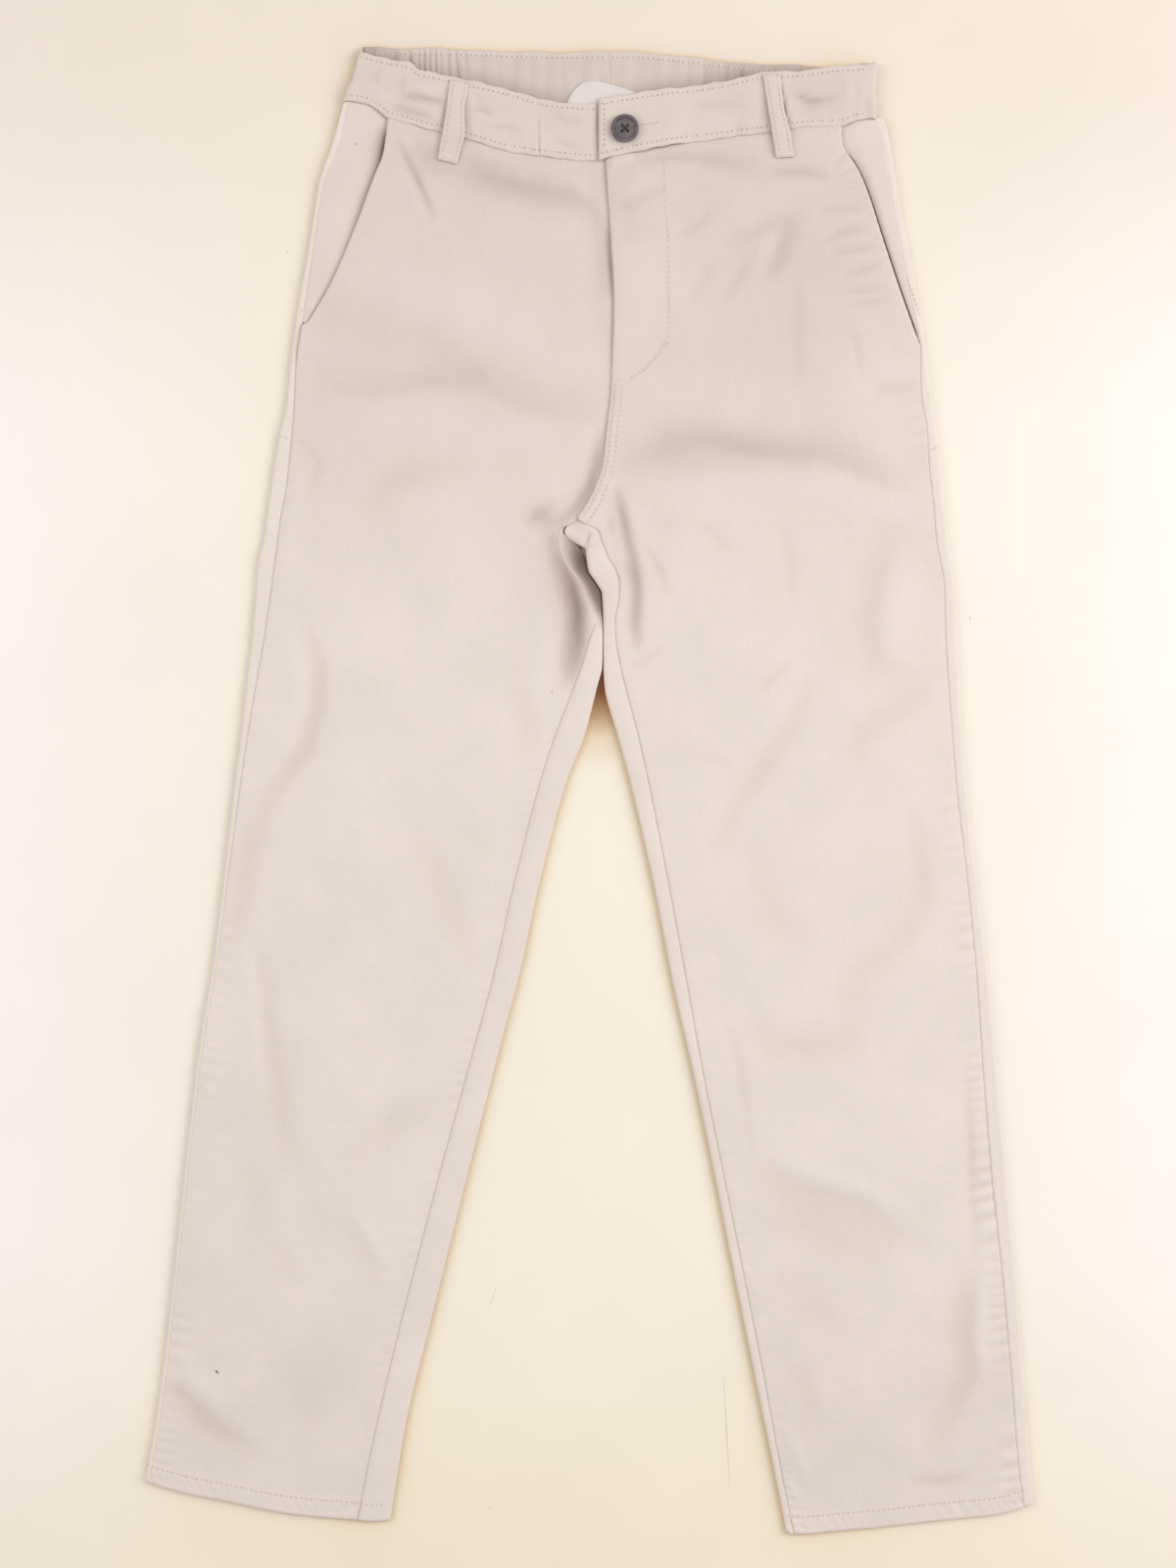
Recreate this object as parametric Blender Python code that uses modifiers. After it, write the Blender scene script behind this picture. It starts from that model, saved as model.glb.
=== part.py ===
"""Child's cotton-twill chino trousers, laid flat with the front up.

The waist lies at +Y and the hems at -Y. "Right" and "left" are the wearer's, so right is -X.
Each leg is a flattened tube: the back panel starts at the side seam on top, rolls round the
outer fold, lies on the ground, rolls round the inner fold and ends at the inseam on top; the
front panel closes the tube between the two seams. Tables are in millimetres.
"""
import math
from collections import namedtuple

import bmesh
import bpy
import numpy as np

MM = 0.001                # tables and sizes below are in millimetres
RIGHT, LEFT = -1, 1       # the way outwards from the middle, along X

CLOTH = 1.2               # wall of a twill panel
BAND = 1.6                # wall of a waistband: two layers and interlining
TAPE = 0.8                # wall of the fly shield, the zip tape and the label
SEAM_GAP = 0.35           # clearance between two panels sewn to each other
LAYER_GAP = 0.35          # clearance between two layers that lie on each other

BAND_HEIGHT = 34.0        # of the back waistband, the same as the front's
BAND_TAIL = 8.0           # how far the front waistband runs on under the fold
BACK_LIFT = CLOTH + LAYER_GAP           # the back's waist lies on the back belt loops
BACK_BAND_Z = BACK_LIFT + BAND / 2
FRONT_BAND_Z = 5.1                      # middle of the front band's wall
LAP_BAND_Z = FRONT_BAND_Z + BAND + 0.3  # where the left end laps over the right end
LAP_START = 5.5           # x of the left band's end, on top
LAP_END, LAP_FLAT, LAP_FOOT = 37.5, 46.0, 64.0    # x where the lap's steps come

FLY_UNDERLAP = 8.0        # right front under the left front at the fly
FLY_TOP, FLY_FOOT = 382.0, 262.0
FACING_INSIDE = 24.0      # pocket facing hidden under the front
SHIELD_SPAN, ZIP_SPAN = (-14.0, 34.0), (-2.0, 22.0)     # across, from the fly's edge
FLY_NARROWS = 0.3         # how much narrower both are at the foot
LOOP_WIDTH = 11.4
LOOP_ARCH = (0.0, 0.3, 0.5, 0.6, 0.5, 0.3, 0.1, 0.0)    # rise of a front loop over the band
LABEL_PLACE, LABEL_RADIUS, LABEL_TIP = (7.5, 413.5), 20.6, 3.0
LABEL_DEPTHS = (1.0, 0.97, 0.87, 0.71, 0.5, 0.26, 0.0, -0.45)    # rows, in radii above its place

BUTTON_RADIUS, BUTTON_HEIGHT = 8.5, 2.8
BUTTON_RIM, BUTTON_DISH = 1.7, 0.7
BUTTON_HOLE_RADIUS, BUTTON_HOLE_PITCH = 0.95, 3.6
BUTTON_PLACE = (21.0, 404.5)

# Where the garment's lines lie at one height up the body. edge: outer fold; side: side seam;
# inner: the front's inner boundary (fly, crotch seam, then inseam); fold: the back's centre
# seam, and from the crotch down the leg's inner fold.
Section = namedtuple("Section", "y edge side inner fold")
RIGHT_SECTIONS = (
    Section(431, -148.5, -146.0, 9.3, 11.5),
    Section(421, -151.3, -148.8, 9.3, 11.5),
    Section(398, -157.8, -153.6, 9.3, 11.3),
    Section(372, -166.5, -163.6, 9.9, 11.0),
    Section(338, -171.9, -169.0, 12.0, 10.5),
    Section(290, -180.3, -175.6, 14.2, 9.5),
    Section(254, -184.8, -180.8, 12.9, 8.0),
    Section(237, -186.3, -181.5, 11.8, 7.0),
    Section(213, -191.7, -183.3, 9.0, 5.0),
    Section(183, -196.3, -186.5, 2.0, -1.0),
    Section(171, -198.0, -188.8, -4.5, -7.0),
    Section(166, -198.7, -189.7, -8.2, -11.4),
    Section(158, -199.5, -190.8, -19.2, -16.9),
    Section(150, -201.2, -191.9, -19.2, -7.7),
    Section(142, -203.4, -192.9, -17.0, -3.5),
    Section(134, -204.2, -194.0, -12.3, -2.2),
    Section(127, -204.8, -195.0, -7.3, 2.6),
    Section(120, -205.2, -195.9, -3.7, 6.3),
    Section(112, -205.9, -197.0, 0.3, 6.9),
    Section(103, -206.8, -198.4, 3.0, 7.2),
    Section(92, -207.6, -200.0, -0.6, 7.4),
    Section(63, -211.2, -205.1, -10.2, 4.2),
    Section(33, -214.5, -210.1, -21.9, -3.6),
    Section(3, -218.4, -214.5, -31.5, -15.3),
    Section(-57, -225.3, -222.6, -46.8, -31.2),
    Section(-117, -233.1, -230.4, -60.3, -44.4),
    Section(-147, -238.5, -235.8, -68.4, -52.6),
    Section(-237, -249.3, -246.6, -93.0, -75.6),
    Section(-327, -258.8, -256.1, -116.4, -98.1),
    Section(-387, -266.4, -263.7, -130.6, -112.8),
    Section(-424, -272.7, -270.0, -138.4, -119.0),
    Section(-448, -275.0, -272.3, -143.0, -122.7),
)
LEFT_SECTIONS = (
    Section(431, 177.0, 174.3, 9.3, 11.5),
    Section(418, 174.9, 172.2, 9.3, 11.5),
    Section(408, 180.9, 177.0, 9.3, 11.4),
    Section(389, 184.5, 180.6, 9.3, 11.3),
    Section(351, 191.1, 186.5, 11.4, 10.7),
    Section(297, 201.3, 197.0, 14.2, 9.8),
    Section(268, 205.5, 201.9, 13.5, 8.8),
    Section(243, 208.8, 202.6, 12.3, 7.4),
    Section(221, 211.6, 206.1, 9.9, 6.0),
    Section(199, 214.6, 207.4, 7.4, 3.0),
    Section(183, 216.0, 209.1, 2.0, -1.0),
    Section(171, 217.2, 210.3, -4.5, -7.0),
    Section(166, 217.6, 210.7, -7.8, -10.8),
    Section(158, 218.3, 211.4, 5.0, -16.0),
    Section(150, 219.1, 212.2, 7.8, -7.0),
    Section(142, 220.2, 213.8, 11.0, -2.8),
    Section(134, 221.4, 215.4, 15.7, -1.5),
    Section(127, 222.3, 216.6, 17.7, 3.3),
    Section(120, 223.2, 216.9, 17.7, 7.0),
    Section(103, 224.4, 217.2, 15.2, 7.9),
    Section(92, 224.7, 217.5, 15.6, 8.1),
    Section(63, 225.7, 219.3, 21.4, 8.6),
    Section(33, 227.7, 221.7, 29.3, 16.5),
    Section(3, 230.1, 224.1, 36.0, 24.6),
    Section(-57, 236.7, 231.0, 47.7, 38.4),
    Section(-117, 243.9, 236.7, 58.8, 50.1),
    Section(-177, 249.4, 240.7, 69.6, 63.6),
    Section(-237, 254.9, 245.5, 81.7, 76.1),
    Section(-297, 260.5, 252.0, 93.8, 88.0),
    Section(-357, 265.0, 257.5, 105.6, 100.1),
    Section(-417, 269.3, 262.5, 116.7, 112.4),
    Section(-456, 273.4, 268.0, 124.5, 120.2),
)

# Height of each layer's middle. strip: the back panel where it shows beside a seam; middle:
# the front's flat stretch; lap and under: the left and the right front beside the fly or
# seam; inner: the same strip after the roll at the inner fold.
Height = namedtuple("Height", "y strip middle lap under inner")
HEIGHTS = (
    Height(421, 3.9, 4.9, 6.05, 4.45, 3.3),
    Height(384, 3.4, 4.8, 6.05, 4.45, 3.3),
    Height(300, 3.2, 4.3, 6.05, 4.45, 3.3),
    Height(254, 3.2, 3.7, 6.05, 4.45, 3.3),
    Height(237, 3.2, 3.5, 4.20, 4.20, 3.3),
    Height(197, 3.2, 3.1, 3.90, 3.90, 3.3),
    Height(166, 3.2, 2.9, 3.90, 3.90, 3.3),
    Height(150, 3.2, 2.9, 3.70, 3.70, 3.3),
    Height(103, 3.2, 2.7, 3.40, 3.40, 3.3),
    Height(33, 3.2, 2.6, 3.20, 3.20, 3.2),
    Height(-460, 3.2, 2.5, 3.20, 3.20, 3.2),
)
POCKET_LIFT = 1.7         # the front lies this much higher where the pocket facing is under it
POCKET_LIFT_END, POCKET_LIFT_GONE = 272.0, 254.0
CREVICE_Z = 2.15          # an inner fold that is pressed flat, as between the thighs
PRESSED = {RIGHT: (102.0, 108.0), LEFT: (150.0, 158.0)}    # y where it starts, and is flat
CROTCH_Y = 166.0          # down from here the backs roll round to the inseams
CREVICE_INSEAM = {RIGHT: (150.0, 158.0), LEFT: (158.0, CROTCH_Y)}    # the same for the inseam
BUNCH = 0.8               # column spacing beside the centre-back seam, above the crotch

# Rows across a panel: y at the outer end, y at the inner end, and how much the middle is
# pushed along Y, so that the waist and the hems can slant and bow.
Row = namedtuple("Row", "outer inner bow")
BODY_ROWS = tuple(Row(y, y, 0.0) for y in (
    237, 216, 197, 183, 171, 166, 158, 150, 142, 134, 127, 120, 112, 103, 92, 78, 63, 33, 3,
    -27, -57, -87, -117, -147, -192, -237, -282, -327, -372))
WAIST_ROW = Row(430, 430, 0.0)      # cut off along the waist seam
FRONT_TOP = (WAIST_ROW, Row(385, 362, 0.0), Row(355, 335, 0.0), Row(320, 307, 0.0),
             Row(290, 282, 0.0), Row(272, 266, 0.0), Row(254, 254, 0.0))
BACK_TOP = (WAIST_ROW, Row(398, 398, 0.0), Row(385, 385, 0.0), Row(355, 355, 0.0),
            Row(320, 320, 0.0), Row(290, 290, 0.0), Row(272, 272, 0.0), Row(254, 254, 0.0))
FACING_ROWS = (430, 398, 385, 355, 320, 290, 273)
HEM_ROWS = {
    RIGHT: (Row(-404, -412, -2.0), Row(-423.5, -447.3, -5.2)),
    LEFT: (Row(-408, -415, -2.0), Row(-437.3, -455.4, -3.6)),
}

# Slant pocket openings: the front's outer boundary down to the side seam.
PocketPoint = namedtuple("PocketPoint", "y x")
POCKET_LINES = {
    RIGHT: (PocketPoint(412, -123.4), PocketPoint(390, -126.4), PocketPoint(374, -132.5),
            PocketPoint(344, -143.7), PocketPoint(309, -158.9), PocketPoint(284, -173.7)),
    LEFT: (PocketPoint(412, 154.0), PocketPoint(399, 154.0), PocketPoint(389, 158.0),
           PocketPoint(365, 169.5), PocketPoint(340, 178.5), PocketPoint(308, 188.5),
           PocketPoint(273, 200.6)),
}

# Waistband lines: the front's upper edge and waist seam, and the back's upper edge.
BandPoint = namedtuple("BandPoint", "x top seam")
RIGHT_BAND = (
    BandPoint(-151.2, 451.5, 421.5), BandPoint(-138.9, 450.2, 420.4),
    BandPoint(-130.5, 448.3, 416.6), BandPoint(-122.7, 447.4, 410.8),
    BandPoint(-104.1, 440.0, 405.4), BandPoint(-79.0, 435.2, 399.3),
    BandPoint(-50.0, 427.7, 390.8), BandPoint(-24.9, 420.9, 387.1),
    BandPoint(3.0, 419.0, 384.8), BandPoint(20.0, 422.3, 389.0),
    BandPoint(42.0, 426.0, 394.2),
)
LEFT_BAND = (
    BandPoint(5.5, 421.5, 384.9), BandPoint(30.3, 425.4, 390.9), BandPoint(57.9, 429.3, 395.7),
    BandPoint(79.5, 432.3, 398.5), BandPoint(105.9, 438.1, 402.1), BandPoint(131.7, 439.6, 405.3),
    BandPoint(153.9, 442.6, 406.5), BandPoint(163.5, 443.0, 409.8), BandPoint(176.0, 444.5, 411.0),
)
BackPoint = namedtuple("BackPoint", "x top")
BACK_BAND = (
    BackPoint(-141.0, 454.6), BackPoint(-115.0, 453.6), BackPoint(-72.0, 453.0),
    BackPoint(-25.0, 451.6), BackPoint(23.7, 451.6), BackPoint(70.5, 447.5),
    BackPoint(112.5, 443.4), BackPoint(145.0, 442.6), BackPoint(176.0, 444.6),
)

# Belt loops: the middle of the loop at its upper end and at its foot.
Loop = namedtuple("Loop", "head_x head_y foot_x foot_y")
FRONT_LOOPS = {
    "right": Loop(-79.6, 433.6, -86.6, 383.4),
    "left": Loop(110.8, 437.2, 119.4, 386.4),
}
BACK_LOOPS = {
    "centre": Loop(11.5, 451.0, 11.5, 411.0),
    "right": Loop(-88.0, 452.4, -91.0, 412.0),
    "left": Loop(112.0, 442.6, 115.0, 404.0),
}

# The large soft folds of the front: a ridge from one end to the other.
Fold = namedtuple("Fold", "x0 y0 x1 y1 height width")
FRONT_FOLDS = (
    Fold(-118, 392, -99, 352, 1.3, 11),       # from under the right end of the waist seam
    Fold(-104, 352, -60, 250, 0.7, 22),       # its soft run down towards the fly
    Fold(-166, 104, -184, -32, 0.9, 20),      # beside the right knee's outer fold
    Fold(-118, 10, -76, -110, 0.6, 24),
    Fold(-196, -110, -188, -200, 0.6, 18),
    Fold(30, 212, 200, 190, 0.8, 22),         # across the left hip
    Fold(120, 66, 86, -30, 0.8, 24),
    Fold(186, 60, 164, -110, 0.7, 22),
    Fold(236, -276, 232, -390, 0.8, 14),      # beside the left hem
)


def smooth_line(places, values):
    """A smooth line through (place, value) pairs that never swings past them."""
    order = np.argsort(places)
    xs = np.array(places, float)[order]
    vs = np.array(values, float)[order]
    rises = np.diff(vs) / np.diff(xs)
    slopes = np.empty(len(xs))
    slopes[0], slopes[-1] = rises[0], rises[-1]
    for i in range(1, len(xs) - 1):
        before, after = rises[i - 1], rises[i]
        slopes[i] = 2 * before * after / (before + after) if before * after > 0 else 0.0

    def value(x):
        x = min(max(x, xs[0]), xs[-1])
        i = min(max(int(np.searchsorted(xs, x)) - 1, 0), len(xs) - 2)
        span = xs[i + 1] - xs[i]
        t = (x - xs[i]) / span
        return ((1 + 2 * t) * (1 - t) ** 2 * vs[i] + t * (1 - t) ** 2 * span * slopes[i]
                + t * t * (3 - 2 * t) * vs[i + 1] - t * t * (1 - t) * span * slopes[i + 1])
    return value


def column(rows, place, name):
    """One column of a table as a smooth line."""
    return smooth_line([getattr(row, place) for row in rows], [getattr(row, name) for row in rows])


SECTIONS = {RIGHT: RIGHT_SECTIONS, LEFT: LEFT_SECTIONS}
LINES = {side: {name: column(SECTIONS[side], "y", name) for name in Section._fields[1:]}
         for side in (RIGHT, LEFT)}
LAYER = {name: column(HEIGHTS, "y", name) for name in Height._fields[1:]}
POCKET = {side: column(POCKET_LINES[side], "y", "x") for side in (RIGHT, LEFT)}
BAND_LINES = {side: {name: column(rows, "x", name) for name in ("top", "seam")}
              for side, rows in ((RIGHT, RIGHT_BAND), (LEFT, LEFT_BAND))}
BACK_BAND_TOP = column(BACK_BAND, "x", "top")


def ease(low, high, x):
    """0 below low, 1 above high, and a smooth step between them."""
    t = min(max((x - low) / (high - low), 0.0), 1.0)
    return t * t * (3 - 2 * t)


def mix(a, b, t):
    return a + (b - a) * t


def fold_height(x, y):
    """How far the large folds lift the front at a place."""
    lift = 0.0
    for fold in FRONT_FOLDS:
        run = np.array((fold.x1 - fold.x0, fold.y1 - fold.y0), float)
        length = np.linalg.norm(run)
        along = float(np.dot((x - fold.x0, y - fold.y0), run)) / length ** 2
        across = abs((x - fold.x0) * run[1] - (y - fold.y0) * run[0]) / length
        taper = ease(-0.1, 0.3, along) * ease(-0.1, 0.3, 1 - along)
        lift += fold.height * taper * math.exp(-(across / fold.width) ** 2)
    return lift


# Making objects

def material(name, color, roughness):
    """A Principled material in the part's own colour."""
    made = bpy.data.materials.new(name)
    made.use_nodes = True
    shader = made.node_tree.nodes["Principled BSDF"]
    shader.inputs["Base Color"].default_value = (*color, 1.0)
    shader.inputs["Roughness"].default_value = roughness
    shader.inputs["Metallic"].default_value = 0.0
    return made


def add_object(name, mesh, collection, look):
    made = bpy.data.objects.new(name, mesh)
    mesh.materials.append(look)
    collection.objects.link(made)
    return made


def cloth_piece(name, rows, wall, collection, look):
    """A piece of cloth: a grid of points on the middle of its wall, then thickened."""
    mesh = bpy.data.meshes.new(name)
    form = bmesh.new()
    grid = [[form.verts.new([c * MM for c in point]) for point in row] for row in rows]
    for upper, lower in zip(grid, grid[1:]):
        for a, b, c, d in zip(upper, upper[1:], lower[1:], lower):
            form.faces.new((a, b, c, d))
    bmesh.ops.recalc_face_normals(form, faces=form.faces)
    form.to_mesh(mesh)
    form.free()
    made = add_object(name, mesh, collection, look)
    solid = made.modifiers.new("wall", "SOLIDIFY")
    solid.thickness = wall * MM
    solid.offset = 0.0
    return made


# The front and back panels

FRONT_COLUMNS = (0.0, 0.05, 0.14, 0.26, 0.4, 0.54, 0.68, 0.8, 0.89, 0.95, 1.0)
ROLL_ANGLES = (90, 30, -30, -90)     # degrees round a fold, from the top to the ground
FLOOR_STEPS = 5                      # spans of a back panel between its two rolls
FRONT_RISE, LAP_RISE = (0.15, 0.36), (0.8, 0.95)    # where across a front its height changes
FOLD_FADE = 0.2                      # the large folds fade out this near to a front's seams


def front_outer(side, y):
    """The front's outer boundary: the pocket opening, then the side seam."""
    seam = LINES[side]["side"](y) - side * SEAM_GAP / 2
    pocket = POCKET[side](y)
    if y > POCKET_LINES[side][-1].y and abs(pocket) < abs(seam):
        return pocket
    return seam


def front_row(side, row):
    """One row of a front panel, from its outer boundary to its inner one."""
    waist = BAND_LINES[side]["seam"]
    y_outer = min(row.outer, waist(POCKET_LINES[side][0].x))
    y_inner = min(row.inner, waist(LINES[side]["inner"](row.inner)))
    outer = front_outer(side, y_outer)
    inner = LINES[side]["inner"](y_inner) + side * SEAM_GAP / 2
    if side == RIGHT:
        inner += FLY_UNDERLAP * ease(POCKET_LIFT_GONE, FLY_FOOT, row.inner)
    lift = POCKET_LIFT * ease(POCKET_LIFT_GONE, POCKET_LIFT_END, row.outer)
    z_outer = LAYER["strip"](y_outer) + lift
    z_inner = LAYER["lap" if side == LEFT else "under"](y_inner)
    points = []
    for t in FRONT_COLUMNS:
        x = mix(outer, inner, t)
        y = mix(row.outer, row.inner, t) + row.bow * 4 * t * (1 - t)
        y = min(y, waist(x))
        z = LAYER["middle"](y)
        z = mix(z_outer, z, ease(*FRONT_RISE, t))
        z = mix(z, z_inner, ease(*LAP_RISE, t))
        z += fold_height(x, y) * ease(0.0, FOLD_FADE, t) * ease(0.0, FOLD_FADE, 1 - t)
        points.append((x, y, z))
    return points


def roll(x_edge, outward, z_low, z_high, angles):
    """Points round a fold whose outer face reaches x_edge."""
    radius = (z_high - z_low) / 2
    x = x_edge - outward * (radius + CLOTH / 2)
    return [(x + outward * radius * math.cos(math.radians(a)),
             (z_high + z_low) / 2 + radius * math.sin(math.radians(a))) for a in angles]


def inner_turn(side, y, ground, start_x):
    """The last part of a back row: its roll at the inner fold and its strip to the inseam."""
    lines = LINES[side]
    fold, inseam = lines["fold"](y), lines["inner"](y) - side * SEAM_GAP / 2
    z_fold = mix(LAYER["inner"](y), CREVICE_Z, ease(*PRESSED[side], y))
    z_seam = mix(LAYER["lap"](y), CREVICE_Z + 0.1, ease(*CREVICE_INSEAM[side], y))
    up = roll(fold, -side, ground, z_fold, reversed(ROLL_ANGLES))
    top_x = up[-1][0]
    inseam = side * max(side * inseam, side * top_x + 0.3)
    span = up[0][0] - start_x
    flat = [(start_x + span * i / FLOOR_STEPS, ground) for i in range(1, FLOOR_STEPS)]
    return flat + up + [(mix(top_x, inseam, 0.5), mix(z_fold, z_seam, 0.5)), (inseam, z_seam)]


def back_row(side, row):
    """One row of a back panel, from the side seam round the folds to its inner end."""
    lines = LINES[side]
    y_side = min(row.outer, seam_top(side))
    y_inner = min(row.inner, BACK_BAND_TOP(0.0) - BAND_HEIGHT)
    ground = CLOTH / 2 + BACK_LIFT * ease(385, 398, row.inner)
    strip = LAYER["strip"](y_side)
    section = [(lines["side"](y_side) + side * SEAM_GAP / 2, strip)]
    section += roll(lines["edge"](y_side), side, ground, strip, ROLL_ANGLES)
    start_x = section[-1][0]
    if row.inner <= CROTCH_Y:
        section += inner_turn(side, row.inner, ground, start_x)
    else:
        end = lines["fold"](y_inner) + side * SEAM_GAP / 2
        bunched = len(ROLL_ANGLES) + 1
        near = end + side * BUNCH * bunched
        section += [(mix(start_x, near, i / FLOOR_STEPS), ground)
                    for i in range(1, FLOOR_STEPS + 1)]
        section += [(near - side * BUNCH * i, ground) for i in range(1, bunched + 1)]
    return [(x, back_y(side, row, section, i), z) for i, (x, z) in enumerate(section)]


def back_y(side, row, section, i):
    """y of one point of a back row: along the slanting row, but never past the waist seam."""
    xs = [x for x, _ in section]
    outer, inner = xs[0], (max(xs) if side == RIGHT else min(xs))
    t = min(max((xs[i] - outer) / (inner - outer), 0.0), 1.0)
    y = mix(row.outer, row.inner, t) + row.bow * 4 * t * (1 - t)
    on_top = BAND_LINES[side]["seam"](xs[i]) - (2 * SEAM_GAP if i else 0.0)
    on_ground = BACK_BAND_TOP(xs[i]) - BAND_HEIGHT - SEAM_GAP
    turned = ease(1, len(ROLL_ANGLES), i)
    return min(y, mix(on_top, on_ground, turned))


def make_fronts(collection, look):
    for side, name in ((RIGHT, "right"), (LEFT, "left")):
        rows = FRONT_TOP + BODY_ROWS + HEM_ROWS[side]
        cloth_piece("front_" + name, [front_row(side, row) for row in rows], CLOTH,
                    collection, look)


def make_backs(collection, look):
    for side, name in ((RIGHT, "right"), (LEFT, "left")):
        rows = BACK_TOP + BODY_ROWS + HEM_ROWS[side]
        cloth_piece("back_" + name, [back_row(side, row) for row in rows], CLOTH,
                    collection, look)


def seam_top(side):
    """y where the side seam meets the waist seam."""
    return BAND_LINES[side]["seam"](SECTIONS[side][1].side)


def facing_columns(side, y):
    """x across a pocket facing: its side seam, its visible stretch and its hidden inner edge."""
    outer = LINES[side]["side"](min(y, seam_top(side))) - side * SEAM_GAP / 2
    opening = front_outer(side, min(y, POCKET_LINES[side][0].y))
    return outer, mix(outer, opening, 0.5), opening, opening - side * FACING_INSIDE


def make_pocket_facings(collection, look):
    """The hip pieces that show inside the slant pockets and run on under the fronts."""
    for side, name in ((RIGHT, "right"), (LEFT, "left")):
        waist = BAND_LINES[side]["seam"]
        rows = []
        for y_row in FACING_ROWS:
            xs = facing_columns(side, y_row)
            row = [(x, min(y_row, waist(x)), LAYER["strip"](y_row)) for x in xs]
            row[-1] = (xs[-1], row[-1][1] - 1.0, row[-1][2])
            rows.append(row)
        cloth_piece("pocket_facing_" + name, rows, CLOTH, collection, look)


# The fly

def make_fly(collection, cloth_look, tape_look):
    """The shield and the closed zip's tape, stacked between the back and the fronts."""
    shield_z = CLOTH + LAYER_GAP + TAPE / 2
    zip_z = shield_z + TAPE + LAYER_GAP
    for name, z, span, look in (("fly_shield", shield_z, SHIELD_SPAN, cloth_look),
                                ("fly_zip", zip_z, ZIP_SPAN, tape_look)):
        rows = []
        for s in np.linspace(0.0, 1.0, 6):
            y = mix(FLY_TOP, FLY_FOOT, s)
            middle = LINES[LEFT]["inner"](y)
            narrow = 1 - FLY_NARROWS * s ** 3
            rows.append([(middle + mix(*span, t) * narrow, y, z) for t in (0.0, 0.5, 1.0)])
        cloth_piece(name, rows, TAPE, collection, look)


# The waistband

BAND_ROWS = (0.0, 0.33, 0.67, 1.0)   # across a band, from its upper edge to its seam
BAND_STEP = 8.0                      # column spacing where the band runs on past its front
BAND_ENDS = {RIGHT: (-141.3, -151.2), LEFT: (175.9, 174.8)}    # x of the fold: upper edge, seam


def band_columns(side, inner_x):
    """x along the waist seam, shared with the pieces sewn to it so that they stay apart."""
    xs = list(facing_columns(side, WAIST_ROW.outer)[:2])
    xs += [x for x, _, _ in front_row(side, WAIST_ROW)]
    last = xs[-1]
    extra = max(round(abs(inner_x - last) / BAND_STEP), 1)
    return xs + [mix(last, inner_x, i / extra) for i in range(1, extra + 1)]


def make_front_band(side, name, inner_x, collection, look):
    """A front waistband, from its tail on the ground round the fold to its inner end."""
    top_line, seam_line = BAND_LINES[side]["top"], BAND_LINES[side]["seam"]
    edge_top, edge_seam = BAND_ENDS[side]
    radius = (FRONT_BAND_Z - BACK_BAND_Z) / 2
    middle_z = (FRONT_BAND_Z + BACK_BAND_Z) / 2
    inset = radius + BAND / 2
    start = edge_seam - side * inset
    along = [(x - start) / (inner_x - start) for x in band_columns(side, inner_x)]
    along = [u for u in along if u > 0.01]
    rows = []
    for v in BAND_ROWS:
        edge = mix(edge_top, edge_seam, v) - side * inset
        y_fold = mix(top_line(edge), seam_line(edge) + SEAM_GAP, v)
        y_foot = max(BACK_BAND_TOP(edge) - BAND_HEIGHT, seam_line(edge) + SEAM_GAP)
        y_tail = mix(BACK_BAND_TOP(edge), y_foot, v)
        row = [(edge - side * BAND_TAIL, y_tail, BACK_BAND_Z)]
        for a in reversed(ROLL_ANGLES):
            turn = math.radians(a)
            row.append((edge + side * radius * math.cos(turn),
                        mix(y_tail, y_fold, (a + 90) / 180), middle_z + radius * math.sin(turn)))
        for u in along:
            x = mix(edge, inner_x, u)
            z = FRONT_BAND_Z
            if side == LEFT:
                z = mix(LAP_BAND_Z, z, ease(LAP_FLAT, LAP_FOOT, x))
            row.append((x, mix(top_line(x), seam_line(x) + SEAM_GAP, v), z))
        rows.append(row)
    cloth_piece("waistband_front_" + name, rows, BAND, collection, look)


def back_columns(start, end):
    """x along the back's waist seam, shared with the back panels."""
    floor = [x for side in (RIGHT, LEFT) for x, _, z in back_row(side, WAIST_ROW)[5:10]]
    return [start] + sorted(x for x in floor if start + 4 < x < end - 4) + [end]


def make_back_band(collection, look):
    """The elasticated back waistband, between the front band's two tails."""
    inset = (FRONT_BAND_Z - BACK_BAND_Z) / 2 + BAND / 2 + BAND_TAIL + SEAM_GAP
    start, end = BAND_ENDS[RIGHT][1] + inset, BAND_ENDS[LEFT][1] - inset
    along = [(x - start) / (end - start) for x in back_columns(start, end)]
    rows = []
    for v in BAND_ROWS:
        left = mix(BAND_ENDS[RIGHT][0] + inset, start, v)
        right = mix(BAND_ENDS[LEFT][0] - inset, end, v)
        rows.append([(x, BACK_BAND_TOP(x) - BAND_HEIGHT * v, BACK_BAND_Z)
                     for x in (mix(left, right, u) for u in along)])
    cloth_piece("waistband_back", rows, BAND, collection, look)


def loop_rows(loop, heights):
    """Two columns of points down a loop, at heights given from its head to its foot."""
    run = np.array((loop.foot_x - loop.head_x, loop.foot_y - loop.head_y))
    across = np.array((run[1], -run[0])) / np.linalg.norm(run) * LOOP_WIDTH / 2
    rows = []
    for i, z in enumerate(heights):
        place = np.array((loop.head_x, loop.head_y)) + run * i / (len(heights) - 1)
        rows.append([(*(place - across), z), (*(place + across), z)])
    return rows


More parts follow.
